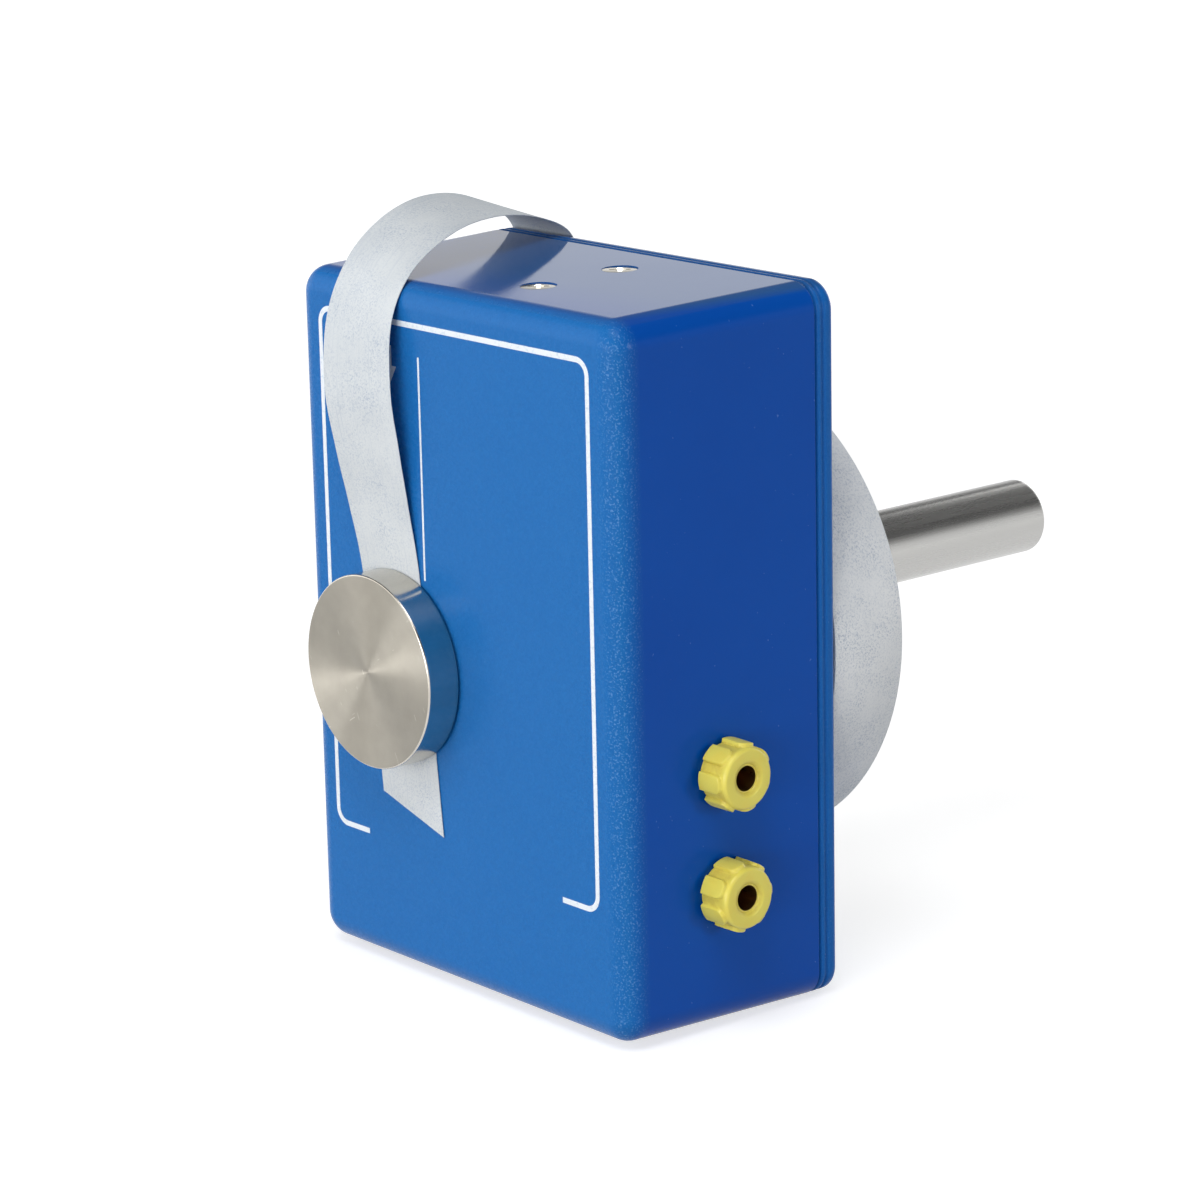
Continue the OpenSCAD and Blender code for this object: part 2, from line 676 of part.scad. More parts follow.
// A socket's yellow head with its grips, and its neck through the wall
module socket_head(z) color([0.86, 0.8, 0.31]) {
    nose = socket_head_h;
    body_r = socket_head_d / 2;
    grip_r = socket_grip_d / 2;
    translate([socket_seat_x, socket_y, z]) rotate([0, 90, 0]) difference() {
        union() {
            // Collar, body and rounded nose
            rotate_extrude() polygon([[0, 0], [body_r - 0.3, 0], [body_r - 0.3, socket_collar_h],
                [body_r, socket_collar_h], [body_r - 0.05, nose - 0.5], [body_r - 0.2, nose - 0.15],
                [body_r - 0.5, nose], [0, nose]]);
            // Grips, which end short of the nose
            intersection() {
                translate([0, 0, socket_collar_h])
                    for (i = [0:socket_grips - 1]) rotate(360 * i / socket_grips + 13)
                        translate([0, -1.25, 0]) cube([grip_r + 1, 2.5, nose]);
                rotate_extrude() polygon([[0, 0], [grip_r, 0], [grip_r - 0.15, nose - 1.3],
                    [grip_r - 0.35, nose - 0.95], [body_r - 0.4, nose - 0.6], [0, nose - 0.6]]);
            }
            // Neck through the wall
            translate([0, 0, -socket_neck_l]) cylinder(d = socket_neck_d, h = socket_neck_l + eps);
        }
        // Room for the sleeve, and the rounded mouth in front of it
        translate([0, 0, -socket_neck_l - 1])
            cylinder(d = socket_bore + 2 * sleeve_wall, h = socket_neck_l + 1 + nose - sleeve_step);
        cylinder(d = socket_bore + 0.7, h = nose + 1);
        translate([0, 0, nose - 0.3]) cylinder(d1 = socket_bore + 0.7, d2 = socket_bore + 1.5, h = 0.31);
    }
}

// A brass sleeve with a solder tail
module socket_sleeve(z) color([0.78, 0.58, 0.28]) {
    difference() {
        union() {
            rod_x(socket_y, z, sleeve_end_x, sleeve_mouth_x, socket_bore + 2 * sleeve_wall);
            block([tail_end_x, socket_y - tail_t / 2, z - tail_h / 2],
                [sleeve_end_x + eps, socket_y + tail_t / 2, z + tail_h / 2]);
        }
        rod_x(socket_y, z, sleeve_mouth_x - sleeve_bore_l, sleeve_mouth_x + 1, socket_bore);
    }
}

module socket_upper_head() socket_head(socket_zs[0]);
module socket_upper_sleeve() socket_sleeve(socket_zs[0]);
module socket_lower_head() socket_head(socket_zs[1]);
module socket_lower_sleeve() socket_sleeve(socket_zs[1]);

module socket_washers() color([0.72, 0.72, 0.74]) {
    for (z = socket_zs) difference() {
        rod_x(socket_y, z, socket_in_x - socket_washer_t, socket_in_x, socket_nut_af + 2);
        rod_x(socket_y, z, socket_in_x - 2, socket_in_x + 1, socket_neck_d + 2 * slip);
    }
}

module socket_nuts() color([0.78, 0.66, 0.38]) {
    x1 = socket_in_x - socket_washer_t;
    for (z = socket_zs) difference() {
        translate([x1 - socket_nut_h, socket_y, z]) rotate([0, 90, 0])
            cylinder(d = socket_nut_af / cos(30), h = socket_nut_h, $fn = 6);
        rod_x(socket_y, z, x1 - socket_nut_h - 1, x1 + 1, socket_neck_d + 2 * fit);
    }
}

// ---------- fuse ----------

module fuse_holder() color([0.13, 0.13, 0.14]) {
    difference() {
        block([fuse_base_x, socket_y - fuse_base_w / 2, fuse_z - fuse_base_l / 2],
            [fuse_boss_x, socket_y + fuse_base_w / 2, fuse_z + fuse_base_l / 2]);
        rod_x(socket_y, fuse_z, fuse_base_x - 1, fuse_boss_x + 1, lid_screw_d + 2 * slip);
        rod_x(socket_y, fuse_z, fuse_base_x - 1, fuse_base_x + 2, 6);
    }
}

module fuse_holder_screw() color([0.72, 0.71, 0.68]) {
    translate([fuse_base_x + 2, socket_y, fuse_z]) rotate([0, -90, 0])
        pan_screw(lid_screw_d, 5.4, 1.7, fuse_base_t - 2 + fuse_boss_h - 1);
}

module fuse_clips() color([0.8, 0.68, 0.36]) {
    for (s = [-1, 1]) translate([fuse_x, socket_y, fuse_z + s * (fuse_l / 2 - cap_l / 2)]) {
        difference() {
            translate([0, 0, -clip_w / 2]) cylinder(d = fuse_d + 2 * clip_t, h = clip_w);
            translate([0, 0, -clip_w]) cylinder(d = fuse_d, h = 2 * clip_w);
            // The open side that the fuse is pushed in through
            block([-fuse_d, -fuse_d * 0.36, -clip_w], [0, fuse_d * 0.36, clip_w]);
        }
        // Foot on the holder
        block([fuse_d / 2 + clip_t / 2, -1.6, -clip_w / 2], [fuse_d / 2 + clip_foot, 1.6, clip_w / 2]);
    }
    // Solder tails past the holder's ends
    for (s = [-1, 1]) {
        z0 = fuse_z + s * (fuse_l / 2 - cap_l / 2);
        z1 = fuse_z + s * clip_tail_z;
        block([fuse_base_x - clip_t, socket_y - 1.5, min(z0, z1)],
            [fuse_base_x, socket_y + 1.5, max(z0, z1)]);
    }
}

module fuse_glass() color([0.85, 0.9, 0.92, 0.4]) {
    tube_l = fuse_l - 2 * cap_t * 2;
    translate([fuse_x, socket_y, fuse_z - tube_l / 2]) difference() {
        cylinder(d = fuse_d - 2 * cap_t, h = tube_l);
        translate([0, 0, -1]) cylinder(d = fuse_d - 1.8, h = tube_l + 2);
    }
}

module fuse_caps() color([0.76, 0.76, 0.78]) {
    for (s = [-1, 1]) translate([fuse_x, socket_y, fuse_z + s * fuse_l / 2]) mirror([0, 0, s > 0 ? 1 : 0])
        difference() {
            cylinder(d = fuse_d, h = cap_l);
            translate([0, 0, 2 * cap_t]) cylinder(d = fuse_d - 2 * cap_t, h = cap_l);
        }
}

module fuse_wire() color([0.7, 0.7, 0.72]) {
    span = fuse_l - 4 * cap_t;
    translate([fuse_x, socket_y, fuse_z - span / 2]) cylinder(d = 0.35, h = span, $fn = 16);
}

// ---------- wires ----------

clip_x = fuse_base_x - clip_t / 2;
fuse_low = [clip_x, socket_y, fuse_z - clip_tail_z - wire_gap];
fuse_high = [clip_x, socket_y, fuse_z + clip_tail_z + wire_gap];
pin_end_x = anvil_x + bobbin_d / 2 + pin_out + wire_gap;
tail_x = tail_end_x - wire_gap;

module wire_socket_to_fuse() color([0.7, 0.12, 0.1]) {
    start = [tail_x, socket_y, socket_zs[0]];
    wire([start, start + [-3, 0, 0], start + [-5, 0, 4], start + [-3, 0, 12],
        fuse_low + [-1, 0, -6], fuse_low + [0, 0, -3], fuse_low]);
}

module wire_fuse_to_coil() color([0.7, 0.12, 0.1]) {
    end = [pin_end_x, pin_y, pin_zs[0]];
    wire([fuse_high, fuse_high + [0, 0, 1.5], fuse_high + [-3, 3, 2], fuse_high + [-8, 7, -4],
        fuse_high + [-12, 9, -20], end + [13, -2, 12], end + [8, 0, 2], end + [3, 0, 0], end]);
}

module wire_coil_to_socket() color([0.12, 0.12, 0.13]) {
    start = [tail_x, socket_y, socket_zs[1]];
    end = [pin_end_x, pin_y, pin_zs[1]];
    wire([start, start + [-3, 0, 0], start + [-8, 2, 1], end + [9, -4, -14], end + [6, -1, -4],
        end + [3, 0, 0], end]);
}

// ---------- support rod ----------

module support_rod() color([0.74, 0.74, 0.73]) {
    difference() {
        union() {
            rod_y(0, 0, back_y, back_y + rod_neck_l, rod_neck_d);
            rod_y(0, 0, back_y + rod_neck_l, 0, rod_d);
            cone_y(0, 0, 0, rod_chamfer, rod_d, rod_d - 2 * rod_chamfer);
        }
        rod_y(0, 0, back_y - 1, back_y + rod_screw_l, rod_screw_d + 2 * fit);
    }
}

module rod_washer() color([0.7, 0.7, 0.72]) {
    difference() {
        rod_y(0, 0, lid_in_y - rod_washer_t, lid_in_y, rod_washer_d);
        rod_y(0, 0, lid_in_y - rod_washer_t - 1, lid_in_y + 1, rod_screw_d + 4 * slip);
    }
}

module rod_screw() color([0.7, 0.7, 0.72]) {
    head_y = lid_in_y - rod_washer_t;
    translate([0, head_y - rod_head_h, 0]) rotate([-90, 0, 0])
        cylinder(d = rod_screw_af / cos(30), h = rod_head_h, $fn = 6);
    rod_y(0, 0, head_y - eps, head_y + rod_screw_l, rod_screw_d);
}

// ---------- tape ----------

module tape_core() color([0.72, 0.6, 0.44]) {
    difference() {
        rod_y(0, -roll_drop, roll_front_y, roll_front_y + tape_w, 2 * core_r);
        rod_y(0, -roll_drop, roll_front_y - 1, roll_front_y + tape_w + 1, 2 * core_bore_r);
    }
}

module tape_roll() color([0.82, 0.84, 0.84]) {
    difference() {
        translate([0, roll_front_y, -roll_drop]) rotate([-90, 0, 0])
            cylinder(d = roll_d, h = tape_w, $fn = 128);
        rod_y(0, -roll_drop, roll_front_y - 1, roll_front_y + tape_w + 1, 2 * core_r);
    }
}

// The free tape, from its cut tail under the anvil and over the case to the roll.
// Each station is the middle of the tape, with the turn and the tilt of its width.
top_z = case_h / 2;
tape_y = front_y - (anvil_gap - 0.1) / 2 - tape_t / 2;
roll_x = -(roll_d / 2 + strip_gap);
tail_slant = 5.5;
tail_cut = 5.9;
tape_route = [
    [anvil_x + 2.8, tape_y, anvil_z - 24, 0, tail_slant],
    [anvil_x + 1.6, tape_y, anvil_z - 12, 0, tail_slant],
    [anvil_x + 0.4, tape_y, anvil_z, 0, tail_slant],
    [anvil_x - 1, tape_y - 0.04, anvil_z + 15, 0, tail_slant],
    [anvil_x - 2.3, front_y - 1.15, top_z - 36.9, 2, 7],
    [anvil_x - 2.7, front_y - 2.7, top_z - 27.6, 5, 7],
    [anvil_x - 3.4, front_y - 3.7, top_z - 17.8, 7, 4],
    [anvil_x - 4, front_y - 2.4, top_z - 7, 6, 3],
    [anvil_x - 4.7, front_y + 2.6, top_z + tape_loop_h - 6.2, 6, -2],
    [anvil_x - 6.3, front_y + 11.4, top_z + tape_loop_h - 1.4, 12, -5],
    [anvil_x - 9.3, back_y - 21.3, top_z + tape_loop_h, 14, -9],
    [anvil_x - 12.5, back_y - 10, top_z + tape_loop_h - 1.6, 11, -9],
    [anvil_x - 14.2, back_y - 0.7, top_z + tape_loop_h - 6, 4, -3],
    [anvil_x - 14.9, back_y + 1.9, top_z - 5.6, 7, -5],
    [roll_x + 7.4, back_y + 4.3, 40.3, 31, -3],
    [roll_x + 3.8, roll_mid_y - 0.8, 27.2, 59, -3],
    [roll_x + 0.7, roll_mid_y, 13, 84, 0],
    [roll_x, roll_mid_y, 0, 90, 0],
];

module tape_strip() color([0.82, 0.84, 0.84]) {
    ts = stations(tape_route, 4);
    last = len(ts) - 1;
    s = [for (t = ts) spot(tape_route, t)];
    mid = [for (p = s) [p[0], p[1], p[2]]];
    side = [for (p = s) [cos(p[3]) * cos(p[4]), sin(p[3]) * cos(p[4]), sin(p[4])]];
    ahead = [for (i = [0:last]) unit(mid[min(i + 1, last)] - mid[max(i - 1, 0)])];
    face = [for (i = [0:last]) unit(cross(side[i], ahead[i])) * tape_t / 2];
    slide = [for (i = [0:last]) i == 0 ? ahead[0] * tail_cut / 2 : [0, 0, 0]];
    rings = [for (i = [0:last]) let (l = mid[i] - side[i] * tape_w / 2 + slide[i],
                                     r = mid[i] + side[i] * tape_w / 2 - slide[i])
        each [l + face[i], r + face[i], r - face[i], l - face[i]]];
    polyhedron(points = rings, faces = skin_faces(len(ts), 4));
}

case_shell();
rear_lid();
lid_screws();
anvil_disc();
field_magnet();
striker_pin();
reed_spring();
armature();
reed_clamp_plate();
reed_clamp_screws();
coil_bracket();
bracket_screws();
bracket_washers();
bracket_nuts();
coil_core();
coil_bobbin();
coil_winding();
coil_pins();
core_screw();
socket_upper_head();
socket_upper_sleeve();
socket_lower_head();
socket_lower_sleeve();
socket_washers();
socket_nuts();
fuse_holder();
fuse_clips();
fuse_glass();
fuse_caps();
fuse_wire();
fuse_holder_screw();
wire_socket_to_fuse();
wire_fuse_to_coil();
wire_coil_to_socket();
support_rod();
rod_screw();
rod_washer();
tape_core();
tape_roll();
tape_strip();
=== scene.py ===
import math
import bpy
import bmesh
from mathutils import Matrix, Vector


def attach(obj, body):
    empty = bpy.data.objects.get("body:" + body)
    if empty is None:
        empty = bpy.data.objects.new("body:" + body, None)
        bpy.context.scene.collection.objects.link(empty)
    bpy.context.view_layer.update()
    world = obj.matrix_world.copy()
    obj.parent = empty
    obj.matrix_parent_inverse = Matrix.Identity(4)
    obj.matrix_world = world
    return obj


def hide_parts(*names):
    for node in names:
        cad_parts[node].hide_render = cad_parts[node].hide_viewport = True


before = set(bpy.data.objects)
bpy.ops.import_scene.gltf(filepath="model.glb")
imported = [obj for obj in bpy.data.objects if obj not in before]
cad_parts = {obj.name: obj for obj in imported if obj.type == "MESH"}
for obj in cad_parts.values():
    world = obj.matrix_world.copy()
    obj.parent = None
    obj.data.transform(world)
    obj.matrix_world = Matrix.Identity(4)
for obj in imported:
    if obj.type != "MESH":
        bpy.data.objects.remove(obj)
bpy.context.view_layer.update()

MM = 0.001
BODY, ANVIL, SUPPLY = "timer_body", "anvil", "tape_supply"

# Sizes of the real object, in millimetres, as the frame has them.
# The case: its front face, its joint with the lid, and the lid's back.
FRONT_Y, JOINT_Y, BACK_Y = -125.4, -86.0, -82.0
HALF_W, HALF_H = 39.5, 57.0
DRAFT, CORNER_R, FRONT_R, WALL = 1.0, 4.5, 4.0, 2.5
# The axis of the disc and of the striker's hole.
AX, AZ = -15.0, -5.4
DISC_R, DISC_T, DISC_GAP = 15.6, 6.0, 0.3
# The sockets on the right side, and the plane that their heads sit on.
SOCKET_Y = FRONT_Y + (JOINT_Y - FRONT_Y) / 2
SOCKET_ZS = (-15.5, -34.5)
SEAT_X = 38.85
# The two screws in the top, and the four in the lid's corners.
TOP_SCREW_X, TOP_SCREW_YS = 6.6, (FRONT_Y + 12.6, JOINT_Y - 10.3)
LID_SCREW_X, LID_SCREW_Z = 33.7, 51.2
# The tape, and the roll that hangs on the rod.
TAPE_W = 14.6
ROLL_Z, ROLL_R, ROLL_HOLE_R = -2.0, 39.0, 9.77


# ---------- camera ----------

# Its place, in millimetres, and its axes were fitted to the object in the photograph.
cam_data = bpy.data.cameras.new("camera")
cam_data.sensor_fit = "HORIZONTAL"
cam_data.sensor_width = 36
cam_data.lens = 122.145
cam_data.clip_start = 0.01
cam_data.clip_end = 20
camera = bpy.data.objects.new("camera", cam_data)
bpy.context.collection.objects.link(camera)
right = Vector((0.65336884, 0.75676734, -0.02030634))
down = Vector((0.17640407, -0.17827705, -0.96803868))
ahead = Vector((-0.73620022, 0.62890419, -0.24997751))
turn = Matrix((right, -down, -ahead)).transposed().to_4x4()
camera.matrix_world = Matrix.Translation(Vector((477.76, -504.25, 164.815)) * MM) @ turn
bpy.context.scene.camera = camera


# ---------- node materials ----------

class Mat:
    """A node material on the Principled shader, with object coordinates in millimetres."""

    def __init__(self, name, color, **sockets):
        self.mat = bpy.data.materials.new(name)
        self.mat.use_nodes = True
        self.tree = self.mat.node_tree
        self.shader = self.tree.nodes["Principled BSDF"]
        self.put(self.shader, "Base Color", (*color, 1))
        for key, value in sockets.items():
            self.put(self.shader, key.replace("_", " "), value)
        coord = self.tree.nodes.new("ShaderNodeTexCoord")
        scale = self.node("ShaderNodeVectorMath", operation="SCALE")
        self.tree.links.new(coord.outputs["Object"], scale.inputs[0])
        scale.inputs["Scale"].default_value = 1000
        self.place = scale.outputs[0]

    def node(self, kind, **props):
        """A new node with these settings."""
        made = self.tree.nodes.new(kind)
        for key, value in props.items():
            setattr(made, key, value)
        return made

    def put(self, node, name, value):
        """Sets a socket, whose name may be written in any case."""
        for socket in node.inputs:
            if socket.name.lower() == name.lower():
                socket.default_value = value
                return
        raise KeyError(name)

    def link(self, out, socket):
        self.tree.links.new(out, socket)

    def noise(self, scale, detail=3.0, rough=0.55, stretch=None, offset=(0, 0, 0)):
        """Noise whose features are 1 / scale millimetres, stretched along the axes."""
        tex = self.node("ShaderNodeTexNoise")
        tex.inputs["Scale"].default_value = scale
        tex.inputs["Detail"].default_value = detail
        tex.inputs["Roughness"].default_value = rough
        place = self.place
        if stretch is not None or any(offset):
            mapping = self.node("ShaderNodeMapping")
            mapping.inputs["Scale"].default_value = stretch or (1, 1, 1)
            mapping.inputs["Location"].default_value = offset
            self.link(place, mapping.inputs["Vector"])
            place = mapping.outputs[0]
        self.link(place, tex.inputs["Vector"])
        return tex.outputs["Fac"]

    def line_noise(self, value, scale, detail, rough=0.5):
        """Noise along one value."""
        tex = self.node("ShaderNodeTexNoise", noise_dimensions="1D")
        tex.inputs["Scale"].default_value = scale
        tex.inputs["Detail"].default_value = detail
        tex.inputs["Roughness"].default_value = rough
        self.link(value, tex.inputs["W"])
        return tex.outputs["Fac"]

    def ramp(self, value, low, high, out_low=0.0, out_high=1.0):
        """The value, taken from low..high to out_low..out_high and held at its ends."""
        made = self.node("ShaderNodeMapRange")
        ends = {"From Min": low, "From Max": high, "To Min": out_low, "To Max": out_high}
        for name, number in ends.items():
            made.inputs[name].default_value = number
        self.link(value, made.inputs["Value"])
        return made.outputs[0]

    def math(self, operation, a, b=0.0):
        made = self.node("ShaderNodeMath", operation=operation)
        for index, value in enumerate((a, b)):
            if isinstance(value, (int, float)):
                made.inputs[index].default_value = value
            else:
                self.link(value, made.inputs[index])
        return made.outputs[0]

    def mix(self, fac, a, b):
        made = self.node("ShaderNodeMix", data_type="RGBA")
        self.link(fac, made.inputs["Factor"])
        for socket, value in ((made.inputs[6], a), (made.inputs[7], b)):
            if isinstance(value, tuple):
                socket.default_value = (*value, 1)
            else:
                self.link(value, socket)
        return made.outputs[2]

    def color(self, out):
        self.link(out, self.shader.inputs["Base Color"])

    def roughness(self, out):
        self.link(out, self.shader.inputs["Roughness"])

    def bump(self, height, distance):
        """Bump of the given height in millimetres; several are chained."""
        made = self.node("ShaderNodeBump")
        made.inputs["Distance"].default_value = distance * MM
        made.inputs["Strength"].default_value = 1.0
        self.link(height, made.inputs["Height"])
        last = self.shader.inputs["Normal"]
        if last.is_linked:
            self.link(last.links[0].from_socket, made.inputs["Normal"])
        self.link(made.outputs[0], last)

    def split(self):
        """The place's x, y and z, in millimetres."""
        made = self.node("ShaderNodeSeparateXYZ")
        self.link(self.place, made.inputs[0])
        return made.outputs

    def length(self, a, b):
        """The square root of a x a + b x b."""
        return self.math("SQRT", self.math("ADD", self.math("MULTIPLY", a, a),
                                           self.math("MULTIPLY", b, b)))

    def radius(self, cx, cz):
        """Distance in millimetres from an axis along Y."""
        x, _, z = self.split()
        return self.length(self.math("SUBTRACT", x, cx), self.math("SUBTRACT", z, cz))


def moulded(name, base, dark, rough):
    """A plain moulding with a fine grain."""
    m = Mat(name, base, Roughness=rough[0], IOR=1.5)
    m.color(m.mix(m.ramp(m.noise(0.03, 3), 0.35, 0.65), dark, base))
    m.roughness(m.ramp(m.noise(1.3, 4), 0.3, 0.7, *rough))
    m.bump(m.noise(0.06, 1.5), 0.012)
    m.bump(m.noise(2.6, 2.0, 0.6), 0.0016)
    return m.mat


def blue_abs(name, ior):
    """Blue moulding: a spark texture on the front and its edges, smooth sides, and a top that is
    polished and slightly wavy. The lid has the front's finish. The front and lid are painted
    lighter than the sides as painted light, the top darker and greyer as painted shade and painted
    sheen, and the upright edges carry painted glints."""
    side_blue = (0.0010, 0.078, 0.425)
    side_dark = (0.0010, 0.073, 0.408)
    # The front's lighter blue is painted light: a lit copy of the sides' blue, with extra red as a
    # painted reflection.
    front_blue_painted_lit, front_dark_painted_lit = (0.015, 0.154, 0.454), (0.011, 0.136, 0.427)
    # The top's darker, greyer blue is painted shade with a painted sheen.
    top_blue_painted_shade = (0.018, 0.10, 0.315)
    # Dust and the painted glints share this pale blue.
    dust_and_glint_blue = (0.17, 0.35, 0.68)
    m = Mat(name, side_blue, Roughness=0.2, IOR=ior)
    x, y, z = m.split()
    # Where each finish is: the front, the top, and the upright edges between front and sides.
    front = m.ramp(y, FRONT_Y + 4.9, FRONT_Y + 1.4)
    top = m.ramp(z, HALF_H - 1.4, HALF_H - 0.6)
    upright = m.ramp(m.math("ABSOLUTE", x), HALF_W - 5.1, HALF_W - 3.3)
    # The lid takes 70 % of the front's finish, and with it of the front's painted lighter blue, as
    # painted light.
    matte_and_painted_lit = m.math("MAXIMUM", front, m.ramp(y, JOINT_Y - 0.02, JOINT_Y + 0.02, 0.0, 0.7))
    grain = m.noise(3.2, 1.0, 0.5)
    # Dust and small marks, and painted glints: painted highlights that sparkle along the upright
    # edges of the front.
    dust = m.math("MULTIPLY", m.ramp(m.noise(1.5, 1, 0.5, offset=(7, 2, 5)), 0.785, 0.80), 0.3)
    painted_glints = m.math("MULTIPLY", m.ramp(grain, 0.56, 0.70), m.math("MULTIPLY", front, upright))
    dust_and_painted_glints = m.math("MAXIMUM", dust, m.math("MULTIPLY", painted_glints, 0.5))
    # A faint mottle in the colours.
    side = m.mix(m.ramp(m.noise(0.03, 3), 0.35, 0.65), side_dark, side_blue)
    spark = m.mix(m.ramp(grain, 0.4, 0.62), front_dark_painted_lit, front_blue_painted_lit)
    clean = m.mix(top, m.mix(matte_and_painted_lit, side, spark), top_blue_painted_shade)
    m.color(m.mix(dust_and_painted_glints, clean, dust_and_glint_blue))
    plain = m.math("ADD", m.math("MULTIPLY", matte_and_painted_lit, 0.07), 0.20)
    rough = m.math("MULTIPLY", plain, m.ramp(top, 0.0, 1.0, 1.0, 0.32))
    speck = m.ramp(m.noise(0.9, 4), 0.3, 0.7, 0.9, 1.12)
    m.roughness(m.math("MULTIPLY", rough, speck))
    m.bump(m.noise(0.055, 1.5), 0.018)
    # The grain stands out on the upright edges, less on the front, and hardly on the top.
    level = m.math("MULTIPLY", front, m.ramp(upright, 0.0, 1.0, 0.16, 1.0))
    level = m.math("MULTIPLY", m.math("MAXIMUM", level, 0.1), m.ramp(top, 0.0, 1.0, 1.0, 0.1))
    m.bump(m.math("MULTIPLY", grain, level), 0.06)
    return m.mat


def yellow_pvc():
    """Yellow socket heads, with painted shade between the ribs, at the foot and round the mouth,
    and a few warm stains.
    """
    yellow, deep, stained = (0.84, 0.74, 0.125), (0.80, 0.69, 0.105), (0.86, 0.64, 0.07)
    shade_brown = (0.52, 0.36, 0.045)
    m = Mat("yellow_pvc", yellow, Roughness=0.35, IOR=1.5)
    x, y, z = m.split()
    # The two heads lie evenly about their middle height, so one radius serves both.
    middle, apart = sum(SOCKET_ZS) / 2, abs(SOCKET_ZS[0] - SOCKET_ZS[1]) / 2
    height = m.math("ABSOLUTE", m.math("SUBTRACT", z, middle))
    r = m.length(m.math("SUBTRACT", y, SOCKET_Y), m.math("SUBTRACT", height, apart))
    # Painted shade, a darker brown-yellow broken up by noise, lies between the ribs, at the foot
    # and round the mouth.
    root = m.math("MULTIPLY", m.ramp(r, 4.88, 5.3, 1.0, 0.0),
                  m.ramp(x, SEAT_X + 4.9, SEAT_X + 5.5, 1.0, 0.0))
    foot = m.ramp(x, SEAT_X + 0.3, SEAT_X + 1.0, 1.0, 0.0)
    mouth = m.math("MULTIPLY", m.ramp(r, 2.5, 2.9, 1.0, 0.0),
                   m.ramp(x, SEAT_X + 5.0, SEAT_X + 5.2))
    hollow_shade = m.math("MAXIMUM", m.math("MAXIMUM", root, foot), mouth)
    hollow_shade = m.math("MULTIPLY", hollow_shade, m.ramp(m.noise(1.1, 3), 0.3, 0.65, 0.08, 0.4))
    stain = m.math("MULTIPLY", m.ramp(m.noise(0.28, 3), 0.5, 0.68), 0.35)
    clean = m.mix(m.ramp(m.noise(0.12, 2), 0.35, 0.65), deep, yellow)
    m.color(m.mix(hollow_shade, m.mix(stain, clean, stained), shade_brown))
    m.roughness(m.ramp(m.noise(1.3, 4), 0.3, 0.7, 0.28, 0.4))
    m.bump(m.noise(0.06, 1.5), 0.004)
    m.bump(m.noise(2.6, 2.0, 0.6), 0.004)
    return m.mat


def metal(name, base, rough, scratch=0.0015, stretch=(1, 1, 1), tone=0.86):
    """Bare metal with fine marks, which can be stretched. Its dull spots are tone x base."""
    m = Mat(name, base, Metallic=1.0, Roughness=rough[0])
    dull = tuple(c * tone for c in base)
    m.color(m.mix(m.ramp(m.noise(0.35, 4, 0.55, stretch), 0.3, 0.7), dull, base))
    m.roughness(m.ramp(m.noise(1.2, 5, 0.6, stretch), 0.3, 0.7, *rough))
    m.bump(m.noise(3.0, 3, 0.6, stretch), scratch)
    return m.mat


def ferrite():
    """Dull dark grey ceramic, for the magnet."""
    m = Mat("ferrite", (0.05, 0.05, 0.055), Roughness=0.6)
    m.color(m.mix(m.ramp(m.noise(2.0, 5), 0.35, 0.7), (0.04, 0.04, 0.045), (0.09, 0.09, 0.095)))
    m.bump(m.noise(3.0, 4), 0.02)
    return m.mat


def enamelled_copper():
    """Copper wire wound round Y, one turn every 0.35 mm, with painted shade in the grooves between
    the turns.
    """
    m = Mat("enamelled_copper", (0.55, 0.2, 0.06), Metallic=1.0, Roughness=0.25)
    y = m.split()[1]
    turns_and_groove_shade = m.math("ABSOLUTE", m.math("SINE", m.math("MULTIPLY", y, math.pi / 0.35)))
    # Dark in the grooves between the turns: painted shade.
    m.color(m.mix(turns_and_groove_shade, (0.16, 0.05, 0.02), (0.62, 0.24, 0.08)))
    m.bump(turns_and_groove_shade, 0.08)
    return m.mat


def fuse_glass():
    """Clear glass, which lets the fuse's wire show."""
    m = Mat("fuse_glass", (0.9, 0.95, 0.96), Roughness=0.05, IOR=1.5, Alpha=0.35)
    m.roughness(m.ramp(m.noise(0.8, 3), 0.3, 0.7, 0.03, 0.08))
    return m.mat


def cardboard():
    """Brown board with fibres, for the roll's core."""
    m = Mat("kraft_cardboard", (0.42, 0.29, 0.16), Roughness=0.85)
    fibres = m.noise(1.1, 5, 0.65, (1, 0.25, 1))
    m.color(m.mix(m.ramp(fibres, 0.3, 0.7), (0.34, 0.23, 0.125), (0.5, 0.36, 0.21)))
    m.bump(fibres, 0.03)
    return m.mat


def screen_ink():
    """White silk-screen ink: a little uneven, with pinholes where it is thin."""
    m = Mat("screen_ink", (0.78, 0.82, 0.88), Roughness=0.42)
    thin = m.ramp(m.noise(1.6, 4, 0.6), 0.30, 0.46)
    m.color(m.mix(thin, (0.60, 0.69, 0.79), (0.80, 0.84, 0.89)))
    m.bump(m.noise(3.5, 3), 0.004)
    return m.mat


